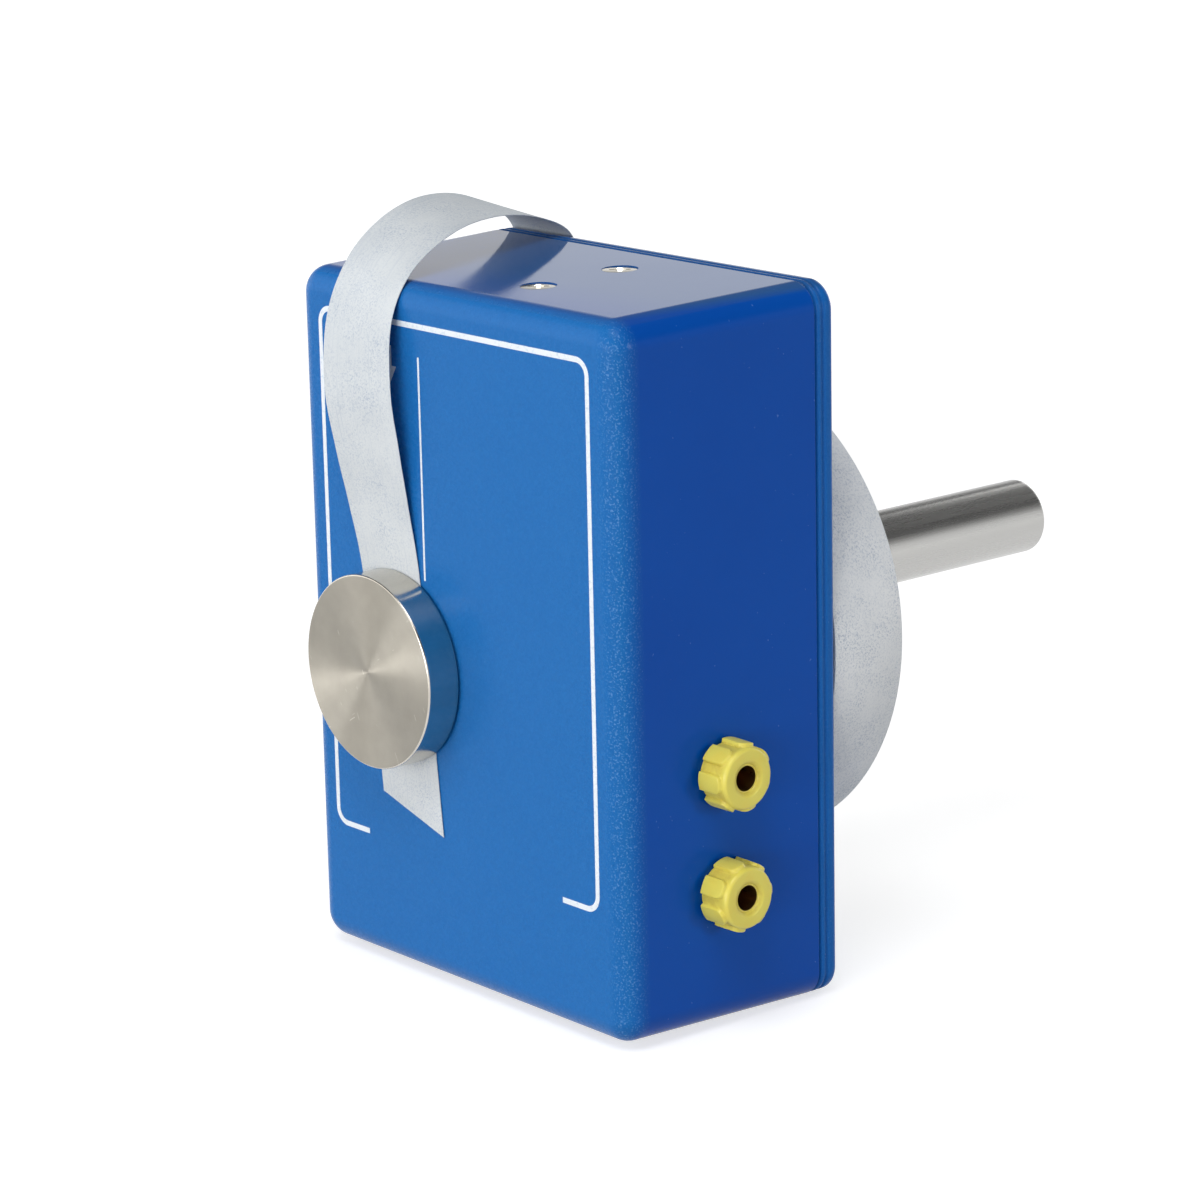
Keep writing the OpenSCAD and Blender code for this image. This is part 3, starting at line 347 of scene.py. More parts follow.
def spun_face():
    """The disc's face: fine turned rings round its axis, and a few scratches."""
    m = Mat("spun_nickel", (0.36, 0.335, 0.29), Metallic=1.0, Roughness=0.52, Anisotropic=0.9,
            Anisotropic_Rotation=0.25)
    tangent = m.node("ShaderNodeTangent", direction_type="RADIAL", axis="Y")
    m.link(tangent.outputs[0], m.shader.inputs["Tangent"])
    rings = m.line_noise(m.radius(AX, AZ), 9.0, 4)
    m.roughness(m.ramp(rings, 0.3, 0.7, 0.50, 0.55))
    m.bump(rings, 0.0005)
    # Two sets of scratches, each with its stretch, its turn in degrees and its offset.
    marks = None
    for stretch, turn_deg, offset in (((2.6, 1, 0.22), 24, (3, 0, 9)),
                                      ((2.4, 1, 0.3), -58, (11, 0, 4))):
        spin = m.node("ShaderNodeMapping")
        spin.inputs["Rotation"].default_value = (0, math.radians(turn_deg), 0)
        m.link(m.place, spin.inputs["Vector"])
        mapping = m.node("ShaderNodeMapping")
        mapping.inputs["Scale"].default_value = stretch
        mapping.inputs["Location"].default_value = offset
        m.link(spin.outputs[0], mapping.inputs["Vector"])
        tex = m.node("ShaderNodeTexNoise")
        tex.inputs["Scale"].default_value = 1.25
        tex.inputs["Detail"].default_value = 1
        m.link(mapping.outputs[0], tex.inputs["Vector"])
        line = m.ramp(tex.outputs["Fac"], 0.775, 0.795)
        marks = line if marks is None else m.math("MAXIMUM", marks, line)
    clean = m.mix(m.ramp(m.noise(0.25, 4), 0.3, 0.7), (0.368, 0.345, 0.300), (0.406, 0.381, 0.332))
    m.color(m.mix(m.math("MULTIPLY", marks, 0.8), clean, (0.66, 0.63, 0.57)))
    m.bump(marks, 0.003)
    return m.mat


# Both kinds of paper start from one colour and have specks of another.
PAPER_BASE, PAPER_SPECK = (0.60, 0.655, 0.685), (0.33, 0.40, 0.51)


def roll_edges():
    """The sides of the roll: the edges of its turns, as fine rings round its axis, in tones painted
    lighter than the strip's paper as painted light.
    """
    m = Mat("roll_edges", PAPER_BASE, Roughness=0.75, Specular_IOR_Level=0.3)
    rings = m.line_noise(m.radius(0.0, ROLL_Z), 2.4, 6, 0.75)
    rings_painted_lighter = m.mix(m.ramp(rings, 0.3, 0.7), (0.70, 0.735, 0.76), (0.87, 0.885, 0.895))
    specks = m.ramp(m.noise(2.2, 4, 0.8), 0.46, 0.70, 0.0, 0.4)
    m.color(m.mix(specks, rings_painted_lighter, (0.36, 0.40, 0.46)))
    m.bump(rings, 0.12)
    return m.mat


def paper(name, dark, pale, smears=None):
    """Paper with fibres and grey-blue specks, thicker in patches."""
    m = Mat(name, PAPER_BASE, Roughness=0.75, Specular_IOR_Level=0.3)
    fine = m.ramp(m.noise(3.0, 3, 0.8), 0.48, 0.64)
    cloud = m.ramp(m.noise(0.16, 3), 0.35, 0.68, 0.25, 1.0)
    dots = m.math("MULTIPLY", fine, cloud)
    if smears:
        dots = m.math("MAXIMUM", dots, m.math("MULTIPLY", smears(m), 0.45))
    tint = m.mix(m.ramp(m.noise(0.09, 3), 0.3, 0.7), dark, pale)
    m.color(m.mix(m.math("MULTIPLY", dots, 0.8), tint, PAPER_SPECK))
    m.bump(m.noise(1.4, 5, 0.7), 0.03)
    return m.mat


def carbon_smears(m):
    """Faint carbon smears and lines along the strip, most of them near one edge."""
    where = m.node("ShaderNodeUVMap", uv_map="strip")
    parts = m.node("ShaderNodeSeparateXYZ")
    m.link(where.outputs[0], parts.inputs[0])
    across = parts.outputs[0]
    mapping = m.node("ShaderNodeMapping")
    mapping.inputs["Scale"].default_value = (3.0, 0.05, 1)
    m.link(where.outputs[0], mapping.inputs["Vector"])
    streak = m.node("ShaderNodeTexNoise")
    streak.inputs["Scale"].default_value = 1
    streak.inputs["Detail"].default_value = 4
    m.link(mapping.outputs[0], streak.inputs["Vector"])
    smear = m.ramp(streak.outputs["Fac"], 0.55, 0.75)
    # Each line: how far across the strip it lies, its half width and its strength.
    for place, width, amount in ((2.0, 0.14, 1.0), (3.6, 0.10, 0.55), (14.2, 0.35, 0.5)):
        off = m.math("ABSOLUTE", m.math("SUBTRACT", across, place))
        line = m.math("MULTIPLY", m.ramp(off, width, width * 0.3), amount)
        broken = m.math("MULTIPLY", line, m.ramp(m.noise(0.22, 4, 0.7), 0.42, 0.62))
        smear = m.math("MAXIMUM", smear, broken)
    return smear


def make_materials():
    """Every material, by the short name that the pieces use."""
    satin, dull = (0.35, 0.5), (0.4, 0.55)
    return {
        "blue": blue_abs("blue_abs", 1.2),
        "blue_top": blue_abs("blue_abs_polished", 1.54),
        "yellow": yellow_pvc(),
        "black": moulded("black_phenolic", (0.02, 0.02, 0.022), (0.014, 0.014, 0.015), dull),
        "white": moulded("white_nylon", (0.78, 0.76, 0.68), (0.7, 0.68, 0.6), dull),
        "red_wire": moulded("red_insulation", (0.5, 0.02, 0.015), (0.4, 0.015, 0.01), satin),
        "black_wire": moulded("black_insulation", (0.02, 0.02, 0.02), (0.012, 0.012, 0.012), satin),
        "zinc": metal("zinc_plated_steel", (0.62, 0.62, 0.60), (0.28, 0.42)),
        "nickel": metal("nickel_screws", (0.58, 0.54, 0.45), (0.07, 0.14), 0.002),
        "steel": metal("spring_steel", (0.42, 0.44, 0.48), (0.25, 0.35), 0.0015, (1, 1, 0.05)),
        "iron": metal("soft_iron", (0.36, 0.35, 0.34), (0.4, 0.55), 0.003),
        "brass": metal("turned_brass", (0.55, 0.33, 0.13), (0.26, 0.38), 0.002, (0.2, 1, 1)),
        "rod": metal("rod_metal", (0.50, 0.495, 0.48), (0.24, 0.30), 0.0008, (1, 0.03, 1), 0.95),
        "disc_rim": metal("polished_rim", (0.66, 0.62, 0.55), (0.16, 0.22), 0.0004, (1, 0.06, 1)),
        "disc_face": spun_face(),
        "ferrite": ferrite(),
        "copper": enamelled_copper(),
        "glass": fuse_glass(),
        "cardboard": cardboard(),
        "ink": screen_ink(),
        # The roll's sides and outer paper are painted lighter than the strip's, though all are the
        # same paper: painted light.
        "roll_side": roll_edges(),
        "paper": paper("roll_paper", (0.78, 0.80, 0.815), (0.86, 0.875, 0.885)),
        "strip": paper("tape_paper", (0.61, 0.643, 0.666), (0.69, 0.718, 0.731), carbon_smears),
    }


# ---------- mesh helpers ----------

def raw(name, verts, faces):
    """A mesh object from points in millimetres, with its faces turned outward."""
    mesh = bpy.data.meshes.new(name)
    mesh.from_pydata([Vector(v) * MM for v in verts], [], faces)
    mesh.validate()
    work = bmesh.new()
    work.from_mesh(mesh)
    bmesh.ops.recalc_face_normals(work, faces=work.faces)
    work.to_mesh(mesh)
    work.free()
    obj = bpy.data.objects.new(name, mesh)
    bpy.context.collection.objects.link(obj)
    return obj


def make(name, verts, faces, body, mats, replaced=None, smooth=True, angle=35,
         indices=None):
    """A mesh piece from points in millimetres, riding on a body."""
    obj = raw(name, verts, faces)
    for mat in mats if isinstance(mats, list) else [mats]:
        obj.data.materials.append(mat)
    if indices is not None:
        for poly, index in zip(obj.data.polygons, indices):
            poly.material_index = index
    finish_shading(obj, smooth, angle)
    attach(obj, body)
    if replaced:
        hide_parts(replaced)
    return obj


def finish_shading(obj, smooth=True, angle=35):
    """Smooth shading, apart from edges sharper than the angle in degrees."""
    mesh = obj.data
    for poly in mesh.polygons:
        poly.use_smooth = smooth
    if smooth:
        mesh.set_sharp_from_angle(angle=math.radians(angle))


def weigh_normals(obj):
    """Keeps flat faces flat beside rounded edges."""
    mod = obj.modifiers.new("face_weights", "WEIGHTED_NORMAL")
    mod.keep_sharp = True
    mod.weight = 100


def ring_faces(n, m):
    """Quads between n rings of m points."""
    faces = []
    for i in range(n - 1):
        for j in range(m):
            a, b = i * m + j, i * m + (j + 1) % m
            faces.append((a, b, b + m, a + m))
    return faces


def capped_rings(n, m):
    """Quads between n rings of m points, and a face over the first and the last ring."""
    return ring_faces(n, m) + [tuple(range(m)), tuple(range((n - 1) * m, n * m))]


# The steps in each corner of a rounded rectangle, and its points.
CORNER_STEPS = 14
RECT_POINTS = 4 * (CORNER_STEPS + 1)


def round_rect(hw, hh, r):
    """A rounded rectangle in XZ with the same number of points for any size."""
    pts = []
    for sx, sz, a0 in ((1, 1, 0), (-1, 1, 90), (-1, -1, 180), (1, -1, 270)):
        for i in range(CORNER_STEPS + 1):
            a = math.radians(a0 + 90 * i / CORNER_STEPS)
            pts.append((sx * (hw - r) + r * math.cos(a), sz * (hh - r) + r * math.sin(a)))
    return pts


def lathe_piece(name, profile, cx, cz, body, mats, replaced, segments, index_of=None):
    """A piece turned about an axis along Y, from (radius, y) points. A profile that comes back
    to its start is a tube, and any other has its two ends closed. index_of gives the material
    of each step of the profile."""
    n = len(profile)
    tube = profile[0] == profile[-1]
    verts = []
    for r, y in profile[:-1] if tube else profile:
        for j in range(segments):
            a = 2 * math.pi * j / segments
            verts.append((cx + r * math.cos(a), y, cz + r * math.sin(a)))
    steps = [i for i in range(n - 1) for _ in range(segments)]
    if tube:
        faces = [tuple(v % len(verts) for v in face) for face in ring_faces(n, segments)]
    else:
        faces = capped_rings(n, segments)
        steps += [0, n - 2]
    indices = [index_of(step) for step in steps] if index_of else None
    return make(name, verts, faces, body, mats, replaced, angle=40, indices=indices)


def turned(name, profile, origin, axis, segments):
    """A closed cutter or solid: (radius, height) points turned about an axis through origin."""
    axis = Vector(axis).normalized()
    side = axis.orthogonal().normalized()
    other = axis.cross(side)
    verts = []
    for r, h in profile:
        for j in range(segments):
            a = 2 * math.pi * j / segments
            spoke = side * math.cos(a) + other * math.sin(a)
            verts.append(Vector(origin) + axis * h + spoke * r)
    return raw(name, verts, capped_rings(len(profile), segments))


def cut_away(obj, cutters):
    """Takes the cutters out of a piece and throws them away."""
    for cutter in cutters:
        mod = obj.modifiers.new("cut", "BOOLEAN")
        mod.operation, mod.solver, mod.object = "DIFFERENCE", "EXACT", cutter
    graph = bpy.context.evaluated_depsgraph_get()
    mesh = bpy.data.meshes.new_from_object(obj.evaluated_get(graph))
    obj.modifiers.clear()
    old, obj.data = obj.data, mesh
    bpy.data.meshes.remove(old)
    for cutter in cutters:
        bpy.data.objects.remove(cutter)


# ---------- case and lid ----------

def half_at(y):
    """The case's half width and half height at a depth."""
    lean = DRAFT * (JOINT_Y - y) / (JOINT_Y - FRONT_Y - FRONT_R)
    return HALF_W - lean, HALF_H - lean


def make_case(mats):
    """The drafted case: its inside, its rim, and its outside with a round front edge."""
    rim, inner_r, round_steps = 0.3, 2.0, 16
    verts = []

    def add(hw, hh, r, y):
        verts.extend((x, y, z) for x, z in round_rect(hw, hh, r))

    add(HALF_W - DRAFT - WALL, HALF_H - DRAFT - WALL, inner_r, FRONT_Y + WALL)
    add(HALF_W - WALL, HALF_H - WALL, inner_r, JOINT_Y)
    for a in (90, 60, 30, 0):
        s, c = math.sin(math.radians(a)), math.cos(math.radians(a))
        inset = rim * (1 - c)
        add(HALF_W - inset, HALF_H - inset, CORNER_R - inset, JOINT_Y - rim * (1 - s))
    y_round = FRONT_Y + FRONT_R
    hw, hh = half_at(y_round)
    for i in range(round_steps + 1):
        a = math.pi / 2 * i / round_steps
        inset = FRONT_R * (1 - math.cos(a))
        add(hw - inset, hh - inset, CORNER_R - inset, y_round - FRONT_R * math.sin(a))
    faces = capped_rings(len(verts) // RECT_POINTS, RECT_POINTS)
    case = make("case_moulding", verts, faces, BODY, [mats["blue"], mats["blue_top"]],
                "case_shell")
    # The striker's hole, the seats of the sockets and the sinks of the top screws.
    cutters = [turned("hole", [(2.5, -1), (2.5, 10)], (AX, FRONT_Y, AZ), (0, 1, 0), 48)]
    for z in SOCKET_ZS:
        cutters.append(turned("seat", [(4.1, -4), (4.1, 0), (4.75, 0), (4.75, 2)],
                              (SEAT_X, SOCKET_Y, z), (1, 0, 0), 72))
    for y in TOP_SCREW_YS:
        cutters.append(turned("sink", [(1.6, -5), (1.6, -1.3), (2.9, 0), (2.9, 2)],
                              (TOP_SCREW_X, y, half_at(y)[1] - 0.12), (0, 0, 1), 64))
    cut_away(case, cutters)
    finish_shading(case, angle=35)
    # The flat top and the start of its edges are polished.
    for poly in case.data.polygons:
        faces_up = poly.normal.z > 0.8 and poly.center.z > (HALF_H - 2) * MM
        poly.material_index = 1 if faces_up else 0
    weigh_normals(case)


def make_lid(mats):
    """The lid: a moulded edge with a groove, and a plain back with four countersunk holes."""
    # Its edge from the joint to the back, as (inset, depth behind the joint).
    edge = [(2.6, 0.02), (0.62, 0.02), (0.60, 0.20), (0.56, 0.36), (0.42, 0.47), (0.22, 0.55),
            (0.08, 0.68), (0.0, 0.86), (0.0, 1.12), (0.06, 1.28), (0.18, 1.38), (0.32, 1.46),
            (0.38, 1.60), (0.36, 1.74), (0.24, 1.86), (0.09, 1.96), (0.0, 2.12), (0.0, 2.50),
            (0.0, 2.8)]
    back_r, round_steps = 1.2, 10
    for i in range(1, round_steps + 1):
        a = math.pi / 2 * i / round_steps
        edge.append((back_r * (1 - math.cos(a)), 2.8 + back_r * math.sin(a)))
    verts = []
    for inset, depth in edge:
        outline = round_rect(HALF_W - inset, HALF_H - inset, CORNER_R - min(inset, 3.4))
        verts.extend((x, JOINT_Y + depth, z) for x, z in outline)
    lid = make("lid_moulding", verts, capped_rings(len(edge), RECT_POINTS), BODY, mats["blue"],
               "rear_lid")
    sink = [(1.65, -6), (1.65, -1.5), (2.96, -0.2), (2.96, 2)]
    cut_away(lid, [turned("sink", sink, (sx * LID_SCREW_X, BACK_Y, sz * LID_SCREW_Z), (0, 1, 0), 48)
                   for sx in (-1, 1) for sz in (-1, 1)])
    finish_shading(lid, angle=30)
    weigh_normals(lid)


BOX_FACES = [(0, 1, 2, 3), (4, 5, 6, 7), (0, 1, 5, 4), (1, 2, 6, 5), (2, 3, 7, 6), (3, 0, 4, 7)]


def make_screws(name, places, axis, up, r_core, r_head, length, mat, replaced):
    """Countersunk cross-head screws, as one piece. up is the direction of one arm of the cross."""
    axis, up = Vector(axis), Vector(up)
    shape = [(r_core * 0.5, -length), (r_core, -length + 0.8), (r_core, r_core - r_head),
             (r_head - 0.08, -0.09), (r_head, -0.03), (r_head - 0.06, 0.03), (r_head - 0.3, 0.06),
             (0.6, 0.07)]
    # The cross: an arm's half length and half width where it is widest, and its depth.
    long, wide, deep = 1.85, 0.40, 1.3
    bodies = []
    for place in places:
        body = turned("screw", shape, place, axis, 64)
        cutters = []
        for a in (up, axis.cross(up)):
            b = axis.cross(a)
            pts = []
            for h, half_b, half_a in ((-deep, wide * 0.62, long * 0.35), (0.3, wide, long)):
                for sa, sb in ((1, 1), (-1, 1), (-1, -1), (1, -1)):
                    pts.append(Vector(place) + axis * h + a * (sa * half_a) + b * (sb * half_b))
            cutters.append(raw("cross", pts, BOX_FACES))
        cutters.append(turned("well", [(0.25, -1.6), (0.85, -0.9), (1.12, 0.3)], place, axis, 32))
        cut_away(body, cutters)
        bodies.append(body)
    mesh = bpy.data.meshes.new(name)
    work = bmesh.new()
    for body in bodies:
        work.from_mesh(body.data)
        bpy.data.objects.remove(body)
    work.to_mesh(mesh)
    work.free()
    obj = bpy.data.objects.new(name, mesh)
    bpy.context.collection.objects.link(obj)
    mesh.materials.append(mat)
    finish_shading(obj, angle=28)
    weigh_normals(obj)
    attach(obj, BODY)
    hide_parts(replaced)


# ---------- printed lines ----------

# How far off the face the ink starts, and how thick it is.
INK_LIFT, INK_THICK = 0.012, 0.02


def stroke(name, path, width, mat):
    """A line of ink along points (x, z) on the front face."""
    n = len(path)
    verts, faces = [], []
    for i, (x, z) in enumerate(path):
        along = (Vector(path[min(i + 1, n - 1)]) - Vector(path[max(i - 1, 0)])).normalized()
        half = Vector((-along.y, along.x)) * width / 2
        for sign in (1, -1):
            px, pz = x + sign * half.x, z + sign * half.y
            verts.append((px, FRONT_Y - INK_LIFT, pz))
            # The ink's outer side is a little narrower than its foot.
            verts.append((px - sign * half.x * 0.06, FRONT_Y - INK_LIFT - INK_THICK,
                          pz - sign * half.y * 0.06))
    for i in range(n - 1):
        a, b = 4 * i, 4 * i + 4
        faces += [(a, b, b + 1, a + 1), (a + 1, b + 1, b + 3, a + 3),
                  (a + 3, b + 3, b + 2, a + 2), (a + 2, b + 2, b, a)]
    faces += [(0, 1, 3, 2), (4 * n - 4, 4 * n - 3, 4 * n - 1, 4 * n - 2)]
    make(name, verts, faces, BODY, mat, smooth=False)


def arc(cx, cz, r, a0, a1, n=10):
    """Points (x, z) along an arc, between two angles in degrees."""
    angles = [math.radians(a0 + (a1 - a0) * i / n) for i in range(n + 1)]
    return [(cx + r * math.cos(a), cz + r * math.sin(a)) for a in angles]


def make_print(mats):
    """The border, the two guide lines and the arrow on the front face."""
    ink = mats["ink"]
    side, low, high, r, end_x = 32.3, -35.0, 49.8, 2.4, 24.1
    path = [(-end_x, low)] + arc(-side + r, low + r, r, 270, 180)
    path += arc(-side + r, high - r, r, 180, 90) + arc(side - r, high - r, r, 90, 0)
    path += arc(side - r, low + r, r, 0, -90) + [(end_x, low)]
    stroke("printed_border", path, 0.9, ink)
    for k, x in enumerate((AX - 7.4, AX + 7.4)):
        stroke("printed_guide_%d" % (k + 1), [(x, 45.0), (x, AZ + 15)], 0.43, ink)
    tip, shoulder, top, head, stem = 39.6, 42.8, 46.0, 1.85, 0.73
    outline = [(AX, tip), (AX + head, shoulder), (AX + stem, shoulder), (AX + stem, top),
               (AX - stem, top), (AX - stem, shoulder), (AX - head, shoulder)]
    n = len(outline)
    verts = [(x, FRONT_Y - d, z) for d in (INK_LIFT, INK_LIFT + INK_THICK) for x, z in outline]
    make("printed_arrow", verts, capped_rings(2, n), BODY, ink, smooth=False)


# ---------- anvil disc, rod and roll ----------

def bevelled(r0, r1, y0, y1, b, n):
    """A profile of a turned bar from y0 to y1 with rounded edges at r1, in n steps each. A ring
    beside each edge keeps the flat faces flat in the smooth shading."""
    loop = 0.3
    out = [(r0, y0), (r1 - b - loop, y0)]
    for i in range(n + 1):
        a = math.pi / 2 * i / n
        out.append((r1 - b + b * math.sin(a), y0 + b * (1 - math.cos(a))))
    out += [(r1, y0 + b + loop), (r1, y1 - b - loop)]
    for i in range(n + 1):
        a = math.pi / 2 * i / n
        out.append((r1 - b + b * math.cos(a), y1 - b + b * math.sin(a)))
    out += [(r1 - b - loop, y1), (r0, y1)]
    return out


def make_disc(mats):
    """The disc. The first three steps of its profile are its face, and the rest its rim."""
    back = FRONT_Y - DISC_GAP
    profile = bevelled(0.02, DISC_R, back - DISC_T, back, 0.32, 5)
    lathe_piece("anvil_disc_turned", profile, AX, AZ, ANVIL,
                [mats["disc_face"], mats["disc_rim"]], "anvil_disc", 256,
                lambda step: 0 if step < 3 else 1)


def make_rod(mats):
    """The support rod: a neck inside the roll, the bar, and a chamfered end with a centre mark."""
    neck, r_neck, r_bar = BACK_Y + 22, 6.05, 6.35
    profile = [(0.02, BACK_Y), (r_neck, BACK_Y), (r_neck, neck - 0.4), (r_neck, neck),
               (6.25, neck + 0.1), (r_bar, neck + 0.25), (r_bar, neck + 0.6), (r_bar, -0.5),
               (r_bar, -0.1), (6.31, 0.06), (6.2, 0.17), (5.56, 0.81), (5.45, 0.92), (5.3, 1.0),
               (5.0, 1.0), (1.9, 1.0), (1.6, 1.0), (0.9, 0.55), (0.02, 0.5)]
    lathe_piece("support_rod_bar", profile, 0, 0, BODY, mats["rod"], "support_rod", 128)


def make_roll(mats):
    """The wound tape and its core. The sides of the roll are a little uneven."""
    y0 = BACK_Y + 0.3
    y1 = y0 + TAPE_W
    n = 26
    side = []
    for i in range(n + 1):
        r = ROLL_HOLE_R + (ROLL_R - 0.12 - ROLL_HOLE_R) * i / n
        side.append((r, 0.03 * math.sin(i * 2.4) + 0.02 * math.sin(i * 5.1)))
    front = [(r, y0 + 0.06 + wave) for r, wave in side]
    back = [(r, y1 - 0.06 + wave) for r, wave in reversed(side)]
    outside = [(ROLL_R - 0.03, y0 + 0.05), (ROLL_R, y0 + 0.16), (ROLL_R, y1 - 0.16),
               (ROLL_R - 0.03, y1 - 0.05)]
    first = len(front)
    lathe_piece("tape_roll_wound", front + outside + back + front[:1], 0, ROLL_Z, SUPPLY,
                [mats["roll_side"], mats["paper"]], "tape_roll", 224,
                lambda step: 1 if first <= step < first + 2 else 0)
    core = bevelled(8.11, 9.71, y0 + 0.15, y1 - 0.15, 0.1, 2)
    lathe_piece("tape_core_tube", core + core[:1], 0, ROLL_Z, SUPPLY, mats["cardboard"],
                "tape_core", 128)


# ---------- tape ----------

# The face that the tape lies on, the case's top, the top of the loop, and the line at which
# the tape meets the roll.
FACE, TOP, LOOP = FRONT_Y - 0.16, HALF_H, HALF_H + 7.0
ROLL_X, ROLL_Y = -39.2, -74.4
# The middle of the tape at each station, in millimetres, with the turn and tilt of its width
# in degrees.
TAPE = [
    (AX + 2.8, FACE, AZ - 24, 0, 5.5),
    (AX + 1.6, FACE, AZ - 12, 0, 5.5),
    (AX + 0.4, FACE, AZ, 0, 5.5),
    (AX - 1, FACE - 0.04, AZ + 15, 0, 5.5),
    (AX - 2.3, FRONT_Y - 1.15, TOP - 36.9, 2, 7),
    (AX - 2.7, FRONT_Y - 2.7, TOP - 27.6, 5, 7),
    (AX - 3.4, FRONT_Y - 3.7, TOP - 17.8, 7, 4),
    (AX - 4, FRONT_Y - 2.4, TOP - 7, 6, 3),
    (AX - 4.7, FRONT_Y + 2.6, LOOP - 6.2, 6, -2),
    (AX - 6.3, FRONT_Y + 11.4, LOOP - 1.4, 12, -5),
    (AX - 9.3, BACK_Y - 21.3, LOOP, 14, -9),
    (AX - 12.5, BACK_Y - 10, LOOP - 1.6, 11, -9),
    (AX - 14.2, BACK_Y - 0.7, LOOP - 6, 4, -3),
    (AX - 14.9, BACK_Y + 1.9, TOP - 5.6, 7, -5),
    (ROLL_X + 7.4, BACK_Y + 4.3, 40.3, 31, -3),
    (ROLL_X + 3.8, ROLL_Y - 0.8, 27.2, 59, -3),
    (ROLL_X + 0.7, ROLL_Y, 13, 84, 0),
    (ROLL_X, ROLL_Y, 0, 90, 0),
]
# The length that the strip's map is laid out for.
MAP_LENGTH = 195.0


def spot(points, t):
    """A place on the smooth curve through the points, which are one apart in t."""
    n = len(points) - 1
    i = min(int(t), n - 1)
    u = t - i
    a, b, c, d = (points[k] for k in (max(i - 1, 0), i, i + 1, min(i + 2, n)))
    return [0.5 * (2 * q + (r - p) * u + (2 * p - 5 * q + 4 * r - s) * u * u
                   + (3 * q - p - 3 * r + s) * u ** 3) for p, q, r, s in zip(a, b, c, d)]


def make_tape(mats):
    """The free tape. Its tail is cut at a slant, which fades over the first station."""
    steps, across, thick, slant = 10, 12, 0.1, 5.9
    rows = []
    total = (len(TAPE) - 1) * steps
    for i in range(total + 1):
        x, y, z, turn_deg, tilt_deg = spot(TAPE, i / steps)
        a, b = math.radians(turn_deg), math.radians(tilt_deg)
        side = Vector((math.cos(a) * math.cos(b), math.sin(a) * math.cos(b), math.sin(b)))
        rows.append((Vector((x, y, z)), side))
    tail = (rows[1][0] - rows[0][0]).normalized()
    verts = []
    for i, (mid, side) in enumerate(rows):
        fwd = (rows[min(i + 1, total)][0] - rows[max(i - 1, 0)][0]).normalized()
        normal = side.cross(fwd).normalized()
        for half in (-1, 1):
            for j in range(across + 1):
                f = (2 * j / across - 1) * (-half)
                slide = tail * (-f * slant / 2) * max(0.0, 1 - i / steps)
                verts.append(mid + side * (f * TAPE_W / 2) + slide + normal * (half * thick / 2))
    m = 2 * (across + 1)
    faces = ring_faces(total + 1, m)
    for base in (0, total * m):
        for j in range(across):
            faces.append((base + j, base + j + 1, base + m - 2 - j, base + m - 1 - j))
    tape = make("paper_tape", verts, faces, BODY, mats["strip"], "tape_strip", angle=60)
    strip = tape.data.uv_layers.new(name="strip")
    for loop in tape.data.loops:
        i, j = divmod(loop.vertex_index, m)
        cross = j if j <= across else 2 * across + 1 - j
        strip.data[loop.index].uv = (cross / across * TAPE_W, i * MAP_LENGTH / total)


# ---------- sockets ----------

def make_socket(name, z, first, mats, replaced):
    """A ribbed socket head: a collar, a round body with seven ribs, a flat nose and its mouth.
    first is the angle of its first rib, in degrees."""
    ribs, count = 7, 7 * 46
    depth, fillet = 6.0, 0.75
    r_seat, r_foot, r_body, r_rib = 4.1, 4.4, 4.86, 5.52
    pitch = 2 * math.pi / ribs

    def ring(radius_at, x):
        for j in range(count):
            a = 2 * math.pi * j / count
            r = radius_at(a)
            verts.append((x, SOCKET_Y + r * math.cos(a), z + r * math.sin(a)))

    def body_at(h):
        """The radius between the ribs at a height over the seat."""
        if h < 0.62:
            return r_foot
        if h < 0.80:
            return r_foot + (r_body - r_foot) * math.sin((h - 0.62) / 0.18 * math.pi / 2)
        over = max(0.0, h - (depth - fillet)) / fillet
        return r_body - 0.55 * (1 - math.sqrt(max(0.0, 1 - over * over)))

    def rib_at(angle, h):
        """How far the ribs stand out, from 0 to 1: flat tops, steep sides and round ends."""
        k = (angle - math.radians(first)) / pitch
        u = abs(k - round(k)) * pitch * 5.1
        low, high, half, corner = 0.66, 5.25, 1.46, 1.1
        if h > (low + high) / 2:
            du, dv = u - (half - corner), h - (high - corner)
            gap = math.hypot(max(du, 0), max(dv, 0)) + min(max(du, dv), 0) - corner
        else:
            gap = max(u - half, low - h)
        e = min(max(0.5 - gap / 0.24, 0.0), 1.0)
        return e * e * (3 - 2 * e)

    def head_at(h):
        """The radius at an angle, at a height over the seat. The ribs taper a little."""
        base = body_at(h)
        reach = r_rib - 0.012 * h * h * 0.2 - base
        return lambda a: base + reach * rib_at(a, h)

    heights = [0.0, 0.3, 0.55] + [0.62 + 0.03 * i for i in range(9)]
    heights += [0.95 + 0.25 * i for i in range(12)] + [3.8 + 0.08 * i for i in range(25)]
    heights += [5.78 + 0.02 * i for i in range(11)] + [depth]
    # The nose and the mouth, as (depth behind the nose, radius).
    inside = [(0, 3.02), (0.02, 2.9), (0.10, 2.76), (0.20, 2.62), (0.26, 2.5), (0.34, 2.40),
              (0.45, 2.31), (0.59, 2.24), (0.59, 2.0), (depth, 2.0)]
    verts = []
    ring(lambda a: r_seat, SEAT_X)
    for h in heights:
        ring(head_at(h), SEAT_X + h)
    for behind, r_inside in inside:
        ring(lambda a: r_inside, SEAT_X + depth - behind)
    faces = ring_faces(len(verts) // count, count)
    make(name, verts, faces, BODY, mats["yellow"], replaced, angle=55)


# ---------- scene ----------

